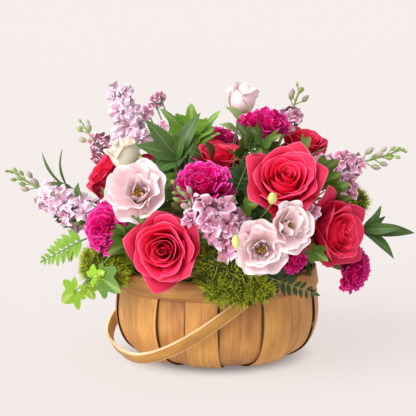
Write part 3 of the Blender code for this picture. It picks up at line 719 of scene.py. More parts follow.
def point_at(line, share):
    """The point that lies that share of the way along a line."""
    low = share * (len(line) - 1)
    i = min(int(low), len(line) - 2)
    return line[i] + (line[i + 1] - line[i]) * (low - i)


def make_spray(finishes, name, points, leaves, ivy=False, old_leaf=None):
    """A stem with pointed leaves, or with ivy leaves of which one may be an old, darker one."""
    rng, pile = start_piece(name)
    start, away = cut_end(points[0])
    line = smooth_line([start, *points], away)
    thick = 1.2 if ivy else 1.3
    tube(pile, line, np.linspace(thick, thick * 0.6, len(line)), 1, 7)
    blade = ivy_blade if ivy else leaf_blade
    for i, (share, tip, width) in enumerate(leaves):
        blade(pile, point_at(line, share), tip, width, rng, 2 if i == old_leaf else 0)
    pile.build(f"{name}_leaves", finishes, "ivy_leaf" if ivy else "green_leaf", stands_for=name)


FERN_PAIRS = 8


def make_fern(finishes, name, start, tip, width, stands_for=None):
    """A frond: pairs of leaflets that shorten towards the tip."""
    rng, pile = start_piece(name)
    start, tip = vec(start), vec(tip)
    along = tip - start
    way = unit(along)
    face = leaf_face(start, tip)
    face = unit(face - way * face.dot(way))
    side = np.cross(way, face)
    line = np.concatenate([stem_line(start, way), np.linspace(start, tip, STEM_STEPS + 2)[1:]])
    tube(pile, line, tapering(1.0, 0.9, 0.4), 1, 6)
    for i in range(FERN_PAIRS):
        share = (i + 0.3) / FERN_PAIRS
        foot = start + along * share
        reach = 0.55 * width * (1 - share) ** 0.6 + 2
        for hand in (-1, 1):
            end = foot + side * hand * reach + way * reach * rng.uniform(0.5, 0.75) + rng.normal(0, 0.8, 3)
            leaf_blade(pile, foot, end, 0.34 * reach + 1.0, rng, 0, 0.10, 0.2, 5, 8, face)
    leaf_blade(pile, tip - along * 0.06, tip + way * 4, 3, rng, 0, 0.02, 0.2, 5, 5, face)
    pile.build(f"{name}_frond", finishes, "fern_blade", stands_for=stands_for)


MOSS_WIDTH = 1.25  # of a thread, at its root


def make_moss(name, centre, radii, count, finish):
    """A cushion of moss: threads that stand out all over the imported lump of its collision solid."""
    rng, pile = start_piece(name)
    centre, radii = vec(centre), vec(radii)
    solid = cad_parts[name].data
    solid.calc_loop_triangles()
    corners = np.array([[solid.vertices[i].co[:] for i in t.vertices] for t in solid.loop_triangles]) / MM
    area = np.linalg.norm(np.cross(corners[:, 1] - corners[:, 0], corners[:, 2] - corners[:, 0]), axis=1)
    for k in rng.choice(len(corners), count, p=area / area.sum()):
        a, b = sorted(rng.uniform(0, 1, 2))
        root = corners[k][0] * a + corners[k][1] * (b - a) + corners[k][2] * (1 - b)
        level = (root - centre) / radii
        if np.linalg.norm(level) >= 0.82 and not in_bail_slot(root):
            moss_thread(pile, root, unit(level / radii), rng)
    for middle, spread, tufts in MOSS_FRINGE.get(name, ()):
        for _ in range(tufts):
            level = unit(rng.normal(0, 1, 3)) * rng.uniform(0.3, 1.0)
            root = vec(middle) + level * vec(spread)
            moss_thread(pile, root, unit(level + np.array([0, -0.5, -0.1])), rng)
    pile.build(f"{name}_threads", finishes(finish), "moss")


def in_bail_slot(point):
    """Whether a point lies where the front side of the bail moves."""
    direction = math.radians(PIVOT_DIRECTION)
    along = point[0] * math.sin(direction) - point[1] * math.cos(direction)
    return SLOT_START < along < SLOT_END and point[2] < SLOT_TOP


def moss_thread(pile, root, out, rng):
    """A bent, tapering thread of moss, longer on the cushion's swells than in its hollows, and brighter
    there, with painted shade in the hollows.
    """
    lump = min(max(field.noise(Vector(root * 0.11)) * 0.9 + 0.5, 0.0), 1.0)
    way = unit(out + rng.normal(0, 0.45, 3) + np.array([0, 0, 0.12]))
    length = rng.uniform(4.5, 8.5) * (0.65 + 0.7 * lump)
    bend = rng.normal(0, 0.28, 3)
    side = unit(np.cross(way, rng.normal(0, 1, 3)))
    s = np.linspace(0, 1, 4)
    line = root - way * 2.5 + np.outer(s, way * length) + np.outer(s**2, bend * length)
    half = MOSS_WIDTH * 0.5 * (1 - 0.85 * s)
    pile.grid(np.stack([line - half[:, None] * side, line + half[:, None] * side], axis=1), lump)


def near_bloom(point, gap):
    """Whether the point lies in or in front of a bloom."""
    for _, head, facing, radius, *_ in ROSES + LISIANTHUS + CARNATIONS + LISIANTHUS_BUDS:
        facing = unit(facing)
        away = point - (head - facing * radius * 0.4)
        ahead = away.dot(facing)
        off = np.linalg.norm(away - ahead * facing)
        if off < radius + gap and -radius < ahead < 60:
            return True
    return False


def make_filler(finishes):
    """Leaves tucked in between the stems all round, which hide the foam."""
    rng = np.random.default_rng(11)
    pile = Pile()
    made = 0
    wanted = flower_settings().filler_leaves
    for i in range(wanted * 4):
        if made >= wanted:
            break
        turn, lift = i * GOLDEN, math.radians(86 * rng.uniform(0, 1) ** 1.25)
        out = np.array([math.cos(turn) * math.cos(lift), math.sin(turn) * math.cos(lift), math.sin(lift)])
        foot = FOCUS + np.array([0, 0, 6]) + out * rng.uniform(66, 116)
        way = unit(0.45 * out + np.cross(out, rng.normal(0, 1, 3)))
        tip = foot + way * rng.uniform(24, 40)
        if near_bloom(tip, -3) or near_bloom((foot + tip) / 2, -7) or foot[2] < 99 or tip[2] < 98:
            continue
        width = rng.uniform(13, 21)
        slot = 0 if rng.uniform(0, 1) < 0.7 else 2
        leaf_blade(pile, foot, tip, width, rng, slot, 0.1, 0.3, 5, 8)
        tube(pile, np.linspace(FOCUS + out * 38, foot, 4), 0.8, 1, 5)
        made += 1
    pile.build("filler_leaves", finishes, "green_leaf")


# Tufts that hang over the rim in front of the bail's end: middle, spread, number of threads.
MOSS_FRINGE = {
    "moss_front": [
        ((40, -125, 93), (15, 5, 11), 900), ((6, -127, 92), (22, 4, 12), 900),
        ((28, -124, 84), (10, 4, 7), 320),
    ],
    "moss_left": [((-121, -80, 96), (14, 8, 12), 500), ((-104, -100, 100), (16, 6, 10), 420)],
}

# Small yellow-green buds on thin stems: middle of the bud, the way it points, length.
LIME_BUDS = [
    ((17, -150, 146), (0.1, -0.5, -0.8), 13), ((51, -156, 190), (0.1, -0.6, 0.8), 14),
    ((-44, -96, 196), (-0.3, -0.6, 0.6), 7), ((-76, -70, 216), (-0.3, -0.5, 0.8), 7),
    ((-66, -72, 212), (0.1, -0.5, 0.8), 6),
]
# Loose florets between the big blooms: middle, the way each faces, radius.
LOOSE_FLORETS = [
    ((138, -26, 186), (0.5, -0.8, 0.3), 12), ((135, -32, 173), (0.3, -0.9, 0.0), 11),
    ((124, -42, 168), (0.0, -1.0, 0.1), 10), ((108, -28, 205), (-0.1, -0.8, 0.5), 12),
    ((121, -22, 197), (0.2, -0.9, 0.3), 12), ((131, -14, 208), (0.3, -0.8, 0.5), 12),
    ((92, -112, 168), (0.3, -0.9, 0.2), 9), ((-156, -34, 150), (-0.5, -0.8, 0.1), 10),
    ((-60, 26, 236), (-0.4, -0.8, 0.3), 8), ((-66, 38, 262), (0.2, -0.9, 0.3), 9),
    ((-74, 40, 252), (-0.1, -0.9, 0.2), 9), ((-60, 38, 268), (0.4, -0.7, 0.6), 7),
]
# Single leaves: foot, tip, width.
SLIM_LEAVES = [
    ((-158, -18, 180), (-181, -20, 218), 5), ((-156, -16, 180), (-160, -14, 219), 6),
    ((-150, -18, 178), (-176, -22, 184), 6), ((-140, -30, 168), (-142, -34, 186), 12),
]
# Pale leaves under the top bud: foot, tip, width.
PALE_LEAVES = [
    ((32, 20, 232), (8, 10, 260), 20), ((36, 22, 236), (27, 8, 267), 17), ((26, 16, 226), (2, 0, 242), 18),
]
# Dark lobed leaves in the gaps: foot, tip, width.
GAP_LEAVES = [
    ((104, -50, 186), (122, -70, 200), 26), ((108, -44, 178), (132, -58, 188), 26),
    ((100, -40, 196), (122, -56, 212), 24), ((90, 0, 206), (112, -20, 222), 24),
    ((112, -60, 164), (134, -76, 178), 22), ((86, -20, 216), (96, -44, 234), 22),
    ((-30, -94, 160), (-44, -116, 178), 24), ((24, -90, 172), (38, -118, 178), 22),
    ((6, -100, 168), (16, -120, 184), 20), ((88, -104, 132), (106, -126, 124), 20),
    ((-120, -30, 150), (-146, -44, 146), 22), ((-60, -60, 176), (-44, -84, 196), 22),
    ((-104, -56, 172), (-116, -76, 186), 18), ((28, -30, 212), (29, -58, 238), 27),
    ((40, -32, 220), (20, -50, 250), 24), ((38, -36, 206), (42, -66, 222), 24),
    ((18, -36, 214), (14, -66, 226), 22),
]
# Fronds in the gaps, with no solid of their own: start, tip, width.
GAP_FRONDS = [
    ((19, -84, 186), (35, -88, 229), 22), ((-150, -10, 140), (-176, -4, 156), 18),
    ((70, 116, 150), (92, 138, 148), 20), ((-30, 126, 150), (-48, 148, 140), 20),
    ((94, 70, 150), (136, 98, 138), 22),
]


def make_accents(finishes):
    """Buds, loose florets and single leaves in the gaps.

    The finishes are a leaf's, a stem's, a lime bud's, a stock petal's, an ivy leaf's and a pale leaf's.
    """
    rng = np.random.default_rng(23)
    pile = Pile()
    for middle, way, length in LIME_BUDS:
        middle, way = vec(middle), unit(way)
        bud(pile, middle - way * length / 2, way, length, 2, rng, 10)
        inward = FOCUS + unit(middle - FOCUS) * TWIG_DEPTH
        control = [inward, middle * 0.5 + inward * 0.5, middle - way * 18, middle - way * length * 0.45]
        tube(pile, curve_points(control, np.linspace(0, 1, 9)), 0.7, 1, 5)
    for middle, way, radius in LOOSE_FLORETS:
        floret(pile, middle, way, radius, rng, 3)
        twig(pile, middle)
    for leaves, slot in ((SLIM_LEAVES, 0), (PALE_LEAVES, 5)):
        for foot, tip, width in leaves:
            leaf_blade(pile, foot, tip, width, rng, slot, 0.12, 0.2)
            twig(pile, foot)
    for foot, tip, width in GAP_LEAVES:
        ivy_blade(pile, foot, tip, width, rng, 4)
        twig(pile, foot)
    pile.build("gap_accents", finishes, "green_leaf")


# ---------------------------------------------------------------- basket


def wall_line(samples):
    """The wall's section as a smooth line of (radius, height) points, its inward directions and its run."""
    points = np.array(WALL, dtype=float)
    line = [points[0]]
    for i in range(len(points) - 1):
        p0, p1, p2 = points[max(i - 1, 0)], points[i], points[i + 1]
        p3 = points[min(i + 2, len(points) - 1)]
        for t in np.linspace(0, 1, 9)[1:]:
            sweep = (2 * p0 - 5 * p1 + 4 * p2 - p3) * t**2
            line.append(0.5 * (2 * p1 + (p2 - p0) * t + sweep + (3 * p1 - p0 - 3 * p2 + p3) * t**3))
    line = np.array(line)
    run = run_along(line)
    even = np.linspace(0, run[-1], samples)
    line = np.stack([np.interp(even, run, line[:, k]) for k in (0, 1)], axis=1)
    along = np.gradient(line, axis=0)
    along /= np.linalg.norm(along, axis=1, keepdims=True)
    return line, np.stack([-along[:, 1], along[:, 0]], axis=1), even


def run_along(line):
    """How far each point of a line lies from its start."""
    return np.concatenate([[0], np.cumsum(np.linalg.norm(np.diff(line, axis=0), axis=1))])


def around(angle, radius, height):
    """Points at those angles round the basket, where 0 is the front."""
    return np.stack(np.broadcast_arrays(radius * np.sin(angle), -radius * np.cos(angle), height), axis=-1)


def splint_section(covered):
    """A splint's section from side to side: place across, darkening, and wear of its face.

    covered is the share of its half width that the next splints hide. From there on the wood is darkened as
    painted shade; an open splint's edges are darkened by staining and painted shade in the gaps.
    """
    worn = basket_settings().edge_round / MM / PLAIN_WEAR
    if covered:
        seen = 1 - covered
        half_across = [0.0, 0.5 * seen, seen - 0.15, seen - 0.07, seen - 0.03, seen + 0.06, 1.0]
        # Painted shade where the neighbouring splints lie over this one.
        edge_darkening = [0.0, 0.0, 0.08, 0.50, 1.0, 1.0, 1.0]
        wear = [0, 0, 0, 0, 0, 0, 0.5]
    else:
        half_across = [0.0, 0.4, 0.74, 0.89, 0.955, 0.982, 1.0]
        # Staining and painted shade along the cut edges, in the gaps between splints.
        edge_darkening = [0.0, 0.0, 0.0, 0.10, 0.36, 0.9, 1.0]
        wear = [0, 0, 0, 0, 0.02, 0.16, 0.5]
    return mirrored(half_across, -1), mirrored(edge_darkening), mirrored(wear) * worn


def mirrored(half, sign=1):
    """Values from the middle outward, spread to both sides."""
    half = vec(half)
    return np.concatenate([sign * half[::-1], half[1:]])


def make_stave(name, middle, width, room, depth, seed, finish, covered=0.0):
    """One bent splint with softened edges, slightly uneven in width and lie.

    middle and width are in degrees, and so is room, the step from this splint to the next. depth is how far
    its outer face lies inside the wall's.
    """
    rng = np.random.default_rng(seed)
    line, inward, run = wall_line(STAVE_ROWS)
    half_mm = math.radians(width) * max(r for r, _ in WALL) / 2
    across, edge_darkening, wear = splint_section(covered)
    wobble = rng.uniform(0, 6.28, 2)
    rows = []
    for (r, z), (ir, iz), s in zip(line, inward, run):
        half = min(half_mm / r, math.radians(ROOM_SHARE * room))
        half = half * (1 + 0.012 * math.sin(s * 0.05 + wobble[0]))
        angles = math.radians(middle) + half * across + 0.004 * math.sin(s * 0.035 + wobble[1])
        faces = []
        for sunk in (depth + wear, depth + STAVE_THICK - wear * 0.6):
            faces.append(around(angles, r + ir * sunk, z + iz * sunk))
        rows.append(np.concatenate([faces[0], faces[1][::-1]]))
    points = np.array(rows)
    cols = points.shape[1]
    grain = np.concatenate([across, across[::-1]]) * half_mm * GRAIN + seed * 1.37
    # Painted shade, darker towards the foot where the splints meet the floor.
    foot_shade = (1.3 - run / run[-1] / 0.20).clip(0, 1)[:, None]
    edges = np.maximum(np.concatenate([edge_darkening, edge_darkening[::-1]])[None, :], foot_shade)
    pile = Pile()
    index = pile.grid(points, rng.uniform(0, 1), 0, pairs(grain, run[:, None] * GRAIN), True, edges)
    for end in (index[0][::-1], index[-1]):
        for i in range(cols // 2 - 1):
            pile.cap([end[i], end[i + 1], end[cols - 2 - i], end[cols - 1 - i]])
    pile.build(f"{name}_splint", [finish], "splint_wood", stands_for=name)


def make_staves(finish):
    """Eight over staves and the eight under staves that show between them."""
    count = len(OVER_STAVES)
    for i, (middle, width) in enumerate(OVER_STAVES):
        following, next_width = OVER_STAVES[(i + 1) % count]
        following += 360 if following < middle else 0
        room = min(following - middle, WIDEST_ROOM)
        make_stave(f"stave_over_{i + 1}", middle, width, room, 0.0, i + 1, finish)
        low, high = middle + width / 2, following - next_width / 2
        under = high - low + 2 * UNDER_TUCK
        make_stave(
            f"stave_under_{i + 1}", (low + high) / 2, under, room, STAVE_THICK + LAYER_GAP, i + 21, finish,
            2 * UNDER_TUCK / under,
        )


def wall_radius(height):
    """The radius of the wall's outer face at a height."""
    return float(np.interp(height, [z for _, z in WALL], [r for r, _ in WALL]))


# Sections of a hoop and of the bail's band: places out from the inner face and up, and out and across.
RIM_SECTION = [
    (0, 0.05), (0, 0.5), (0, 0.95), (0.3, 1), (0.7, 1), (1, 0.95), (1, 0.5), (1, 0.05), (0.7, 0), (0.3, 0),
]
BAND_SECTION = [(1, 0.9), (1, -0.9), (0.82, -1), (-0.82, -1), (-1, -0.9), (-1, 0.9), (-0.82, 1), (0.82, 1)]


def make_rim(name, inner_offset, seed, finish):
    """A hoop of thin wood with rounded edges, its grain running round."""
    rng = np.random.default_rng(seed)
    low, high = wall_radius(RIM_LOW) + inner_offset, wall_radius(RIM_HIGH - 1) + inner_offset
    u, v = np.array(RIM_SECTION).T
    angles = np.linspace(0, 2 * math.pi, RIM_STEPS + 1)[:, None]
    wave = 0.25 * np.sin(3 * angles + seed)
    height = RIM_LOW + (RIM_HIGH - RIM_LOW) * v + wave * (v - 0.5)
    points = around(angles, low + (high - low) * v + RIM_THICK * u, height)
    uv = pairs(v * 0.18 + 0.05 * u + seed, angles * low * GRAIN)
    edge_darkening = np.where((v < 0.1) | (v > 0.97), 0.5, 0.0)
    pile = Pile()
    pile.grid(points, rng.uniform(0.3, 0.7), 0, uv, True, edge_darkening)
    pile.build(f"{name}_hoop", [finish], "splint_wood", stands_for=name)


def make_bail(finishes):
    """The bail: a flat band bent to a squarish arch, with round ends over the pins."""
    direction, drop = math.radians(PIVOT_DIRECTION), math.radians(BAIL_DROP)
    axis = np.array([math.sin(direction), -math.cos(direction), 0])
    level = np.array([-math.cos(direction), -math.sin(direction), 0])
    reach = level * math.cos(drop) - np.array([0, 0, math.sin(drop)])
    normal = np.cross(axis, reach)
    centre = np.array([0, 0, PIVOT_HEIGHT])
    turn = np.linspace(0, math.pi, BAIL_STEPS + 1)
    power = 2 / BAIL_SQUARENESS
    tail = np.array([-6.0, -5.6, -4.6, -3.0, -1.2])  # past the pins, where the ends are rounded

    def arch(offset):
        wide = np.sign(np.cos(turn)) * np.abs(np.cos(turn)) ** power * (BAIL_HALF_WIDTH + offset)
        deep = np.sin(turn).clip(0) ** power * (BAIL_REACH + offset)
        return np.pad(wide, len(tail), "edge"), np.concatenate([tail, deep, tail[::-1]])

    (outer_a, outer_d), (inner_a, inner_d) = arch(BAND_THICK / 2), arch(-BAND_THICK / 2)
    wide = BAND_WIDE / 2 * np.sqrt(np.clip(1 - (np.clip(-outer_d, 0, 6) / 6.2) ** 2, 0.04, 1))
    u, v = np.array(BAND_SECTION).T
    along = (outer_a + inner_a)[:, None] / 2 + (outer_a - inner_a)[:, None] / 2 * u
    out = (outer_d + inner_d)[:, None] / 2 + (outer_d - inner_d)[:, None] / 2 * u
    points = centre + along[..., None] * axis + out[..., None] * reach
    points = points + (wide[:, None] * v)[..., None] * normal
    pile = Pile()
    faces = [0, 1, 1, 1, 2, 1, 1, 1]  # outer face, cut edges and inner face
    uv = pairs(v * 0.06 + u * 0.03, run_along(points[:, 0])[:, None] * GRAIN)
    index = pile.grid(points, 0.5, faces, uv, True)
    pile.cap(index[0][::-1])
    pile.cap(index[-1])
    piece = pile.build("bail_band", finishes, "bail_wood", "bail", "bail_handle")
    piece.data.set_sharp_from_angle(angle=math.radians(40))


# ---------------------------------------------------------------- materials


class Nodes:
    """Short calls for adding, setting and linking the nodes of one tree."""

    def __init__(self, tree):
        self.tree = tree

    def add(self, kind, **values):
        node = self.tree.nodes.new(kind)
        for key, value in values.items():
            setattr(node, key, value)
        return node

    def give(self, node, values):
        """Sets or links a node's inputs, found by label or number; returns the node's outputs."""
        for label, value in values.items():
            socket = node.inputs[label]
            if isinstance(value, bpy.types.NodeSocket):
                self.tree.links.new(value, socket)
            elif isinstance(value, tuple):
                socket.default_value = (*value, 1)[:len(socket.default_value)]
            else:
                socket.default_value = value
        return node.outputs

    def math(self, operation, a, b=0.0, clamp=False):
        return self.give(self.add("ShaderNodeMath", operation=operation, use_clamp=clamp), {0: a, 1: b})[0]

    def add_times(self, base, value, factor):
        """A value times a factor, on top of a base."""
        return self.math("ADD", base, self.math("MULTIPLY", value, factor))

    def swing(self, value, middle, factor):
        """How far a value lies from a middle, times a factor."""
        return self.math("MULTIPLY", self.math("SUBTRACT", value, middle), factor)

    def mix(self, share, a, b):
        return self.give(self.add("ShaderNodeMix", data_type="RGBA"), {0: share, 6: a, 7: b})[2]

    def noise(self, vector, scale, detail):
        values = {"Vector": vector, "Scale": scale, "Detail": detail}
        return self.give(self.add("ShaderNodeTexNoise"), values)["Fac"]

    def smooth(self, value, low, high):
        node = self.add("ShaderNodeMapRange", interpolation_type="SMOOTHSTEP")
        return self.give(node, {"Value": value, "From Min": low, "From Max": high})["Result"]

    def stretched(self, vector, x, y):
        node = self.add("ShaderNodeVectorMath", operation="MULTIPLY")
        return self.give(node, {0: vector, 1: (x, y, 1.0)})[0]

    def graded(self, colour, value, hue=0.5):
        values = {"Color": colour, "Value": value, "Hue": hue}
        return self.give(self.add("ShaderNodeHueSaturation"), values)[0]

    def split(self, vector):
        return self.give(self.add("ShaderNodeSeparateXYZ"), {0: vector})

    def uv(self):
        return self.add("ShaderNodeUVMap", uv_map="UVMap").outputs[0]

    def mark(self, name):
        return self.add("ShaderNodeAttribute", attribute_name=name).outputs["Fac"]

    def bump(self, height, distance, strength):
        values = {"Height": height, "Distance": distance, "Strength": strength}
        return self.give(self.add("ShaderNodeBump"), values)[0]


def shared_group(name, fill, values):
    """The node group of that name. The first time, it gets its inputs and fill makes the rest."""
    group = bpy.data.node_groups.get(name)
    if group:
        return group
    group = bpy.data.node_groups.new(name, "ShaderNodeTree")
    for label, value in values.items():
        kind = "NodeSocketColor" if isinstance(value, tuple) else "NodeSocketFloat"
        group.interface.new_socket(label, in_out="INPUT", socket_type=kind)
    nodes = Nodes(group)
    results = fill(nodes, nodes.add("NodeGroupInput").outputs)
    for label in results:
        kind = "NodeSocketColor" if label == "Color" else "NodeSocketFloat"
        group.interface.new_socket(label, in_out="OUTPUT", socket_type=kind)
    nodes.give(nodes.add("NodeGroupOutput"), results)
    return group


def petal_marks(n, given):
    """Colour from the claw to the rim of a petal, with fine veins, a pale rim and a tone of its own."""
    across, along = n.split(n.uv())[:2]
    tone = n.mark("tone")
    level = n.math("MULTIPLY", tone, 17.0)
    moved = n.give(n.add("ShaderNodeCombineXYZ"), {0: across, 1: along, 2: level})[0]
    veins = n.noise(n.stretched(moved, 46, 3.2), 1.0, 2.0)
    cloud = n.noise(moved, 3.0, 2.0)
    depth = n.smooth(n.math("ADD", along, n.swing(veins, 0.5, 0.16)), 0.0, given["Deep End"])
    rim = n.smooth(n.math("ADD", along, n.swing(veins, 0.5, 0.04)), given["Rim Start"], 1.0)
    coloured = n.mix(rim, n.mix(depth, given["Deep"], given["Body"]), given["Rim"])
    swing = n.swing(n.math("ADD", tone, cloud), 1.0, given["Variation"])
    return {"Color": n.graded(coloured, n.math("ADD", 1.0, swing)), "Height": veins}


def leaf_marks(n, given):
    """A leaf's face: pale midrib, side veins, a mottled blade and a lighter edge."""
    uv = n.uv()
    across, along = n.split(uv)[:2]
    off = n.math("ABSOLUTE", n.math("SUBTRACT", across, 0.5))
    rib = n.math("SUBTRACT", 1.0, n.smooth(off, 0.0, 0.05))
    slant = n.add_times(along, off, -0.9)
    stripes = n.math("ABSOLUTE", n.math("SINE", n.math("MULTIPLY", slant, 24.0)))
    side = n.math("SUBTRACT", 1.0, n.smooth(stripes, 0.0, 0.30))
    veins = n.math("MAXIMUM", rib, n.math("MULTIPLY", side, 0.35))
    speckle = n.noise(n.stretched(uv, 6, 9), 2.0, 4.0)
    blade = n.mix(n.smooth(off, 0.36, 0.5), given["Blade"], given["Edge"])
    blade = n.mix(n.math("MULTIPLY", veins, 0.55), blade, given["Rib"])
    swing = n.swing(n.math("ADD", n.mark("tone"), speckle), 1.0, given["Variation"])
    coloured = n.graded(blade, n.add_times(1.0, swing, 1.6), n.add_times(0.5, swing, 0.05))
    return {"Color": coloured, "Height": n.add_times(n.math("MULTIPLY", veins, -0.7), speckle, 0.3)}


def wood_grain(n, given):
    """Split wood: long fibres, darker streaks, pores, edges darkened by staining and painted shade, and a
    tone for each strip.
    """
    uv = n.uv()
    fibre = n.noise(n.stretched(uv, 95, 2.0), 1.0, 5.0)
    lines = n.smooth(fibre, 0.50, 0.66)
    streak = n.smooth(n.noise(n.stretched(uv, 30, 0.8), 1.0, 3.0), 0.50, 0.68)
    fleck = n.smooth(n.noise(n.stretched(uv, 210, 22), 1.0, 2.0), 0.62, 0.74)
    blotch = n.noise(n.stretched(uv, 6, 2.4), 1.0, 2.0)
    marks = n.math("MAXIMUM", n.math("MULTIPLY", lines, 0.8), streak)
    marks = n.math("MAXIMUM", marks, n.math("MULTIPLY", fleck, 0.6))
    base = n.mix(n.math("MULTIPLY", marks, given["Streaks"], True), given["Pale"], given["Dark"])
    swing = n.math("ADD", n.swing(n.mark("tone"), 0.5, 0.30), n.math("SUBTRACT", blotch, 0.53))
    toned = n.graded(base, n.add_times(1.0, swing, 0.95), n.add_times(0.5, swing, 0.030))
    # The edge mark holds the cut edges' staining and the painted shade where splints run under each other
    # and at the foot.
    ragged = n.math("ADD", n.mark("edge"), n.swing(fibre, 0.5, 0.9))
    stain_and_shade = n.math("MULTIPLY", n.smooth(ragged, 0.30, 0.95), 0.9)
    return {
        "Color": n.mix(stain_and_shade, toned, DARK_STAIN_AND_SHADE),
        "Roughness": n.add_times(0.42, fibre, 0.25),
        "Height": n.math("SUBTRACT", 1.0, n.math("MAXIMUM", lines, n.math("MULTIPLY", streak, 0.5))),
    }


def blank_material(name, roughness, specular=0.5):
    """A material; returns it, its nodes and its Principled shader."""
    finish = bpy.data.materials.new(name)
    finish.use_nodes = True
    nodes = Nodes(finish.node_tree)
    shader = finish.node_tree.nodes["Principled BSDF"]
    nodes.give(shader, {"Roughness": roughness, "Specular IOR Level": specular})
    return finish, nodes, shader


def group_outputs(nodes, name, fill, values):
    """What a shared node group gives for those values."""
    return nodes.give(nodes.add("ShaderNodeGroup", node_tree=shared_group(name, fill, values)), values)


def petal_material(name, deep, body, rim, deep_end, rim_start, variation, roughness, sheen, glow):
    finish, nodes, shader = blank_material(name, roughness, 0.35)
    petal = group_outputs(nodes, "Petal", petal_marks, {
        "Deep": deep, "Body": body, "Rim": rim,
        "Deep End": deep_end, "Rim Start": rim_start, "Variation": variation,
    })
    nodes.give(shader, {
        "Base Color": petal["Color"], "Emission Color": petal["Color"], "Emission Strength": glow,
        "Sheen Weight": sheen, "Sheen Roughness": 0.4, "Sheen Tint": rim,
        "Subsurface Weight": 0.18, "Subsurface Radius": (1.0, 0.45, 0.35), "Subsurface Scale": 0.003,
        "Normal": nodes.bump(petal["Height"], 0.0004, 0.35),
    })
    return finish


def leaf_material(name, blade, rib, edge, variation):
    finish, nodes, shader = blank_material(name, 0.38, 0.36)
    values = {"Blade": blade, "Rib": rib, "Edge": edge, "Variation": variation}
    leaf = group_outputs(nodes, "Leaf", leaf_marks, values)
    behind = nodes.add("ShaderNodeNewGeometry").outputs["Backfacing"]
    paler = nodes.mix(nodes.math("MULTIPLY", behind, 0.3), leaf["Color"], rib)
    nodes.give(shader, {"Base Color": paler, "Normal": nodes.bump(leaf["Height"], 0.0005, 0.4)})
    return finish


def wood_material(name, pale, dark, streaks):
    finish, nodes, shader = blank_material(name, 0.5, 0.4)
    wood = group_outputs(nodes, "Wood Grain", wood_grain, {"Pale": pale, "Dark": dark, "Streaks": streaks})
    normal = nodes.bump(wood["Height"], 0.0004, 0.5)
    nodes.give(shader, {"Base Color": wood["Color"], "Roughness": wood["Roughness"], "Normal": normal})
    return finish


def moss_material(name, root, tip):
    """Painted shade at the root, deep in the cushion, and bright at the tip; threads with a low tone keep
    more of the dark root, as painted shade in the hollows.
    """
    finish, nodes, shader = blank_material(name, 0.75, 0.2)
    reach = nodes.add_times(0.10, nodes.mark("tone"), 1.45)
    share = nodes.math("MULTIPLY", nodes.split(nodes.uv())[1], reach, True)
    nodes.give(shader, {"Base Color": nodes.mix(share, root, tip)})
    return finish


def mottled_material(name, colour, other, roughness, scale, metallic=0.0):
    """A plain material with a fine mottle, for what is small or nearly hidden."""
    finish, nodes, shader = blank_material(name, roughness)
    mottle = nodes.noise(nodes.add("ShaderNodeTexCoord").outputs["Object"], scale, 4.0)
    normal = nodes.bump(mottle, 0.0006, 0.5)
    colour = nodes.mix(mottle, colour, other)
    nodes.give(shader, {"Metallic": metallic, "Base Color": colour, "Normal": normal})
    return finish


# Dark colour of the edges' staining and of the painted shade under neighbouring splints and at the foot.
DARK_STAIN_AND_SHADE = (0.10, 0.035, 0.012)
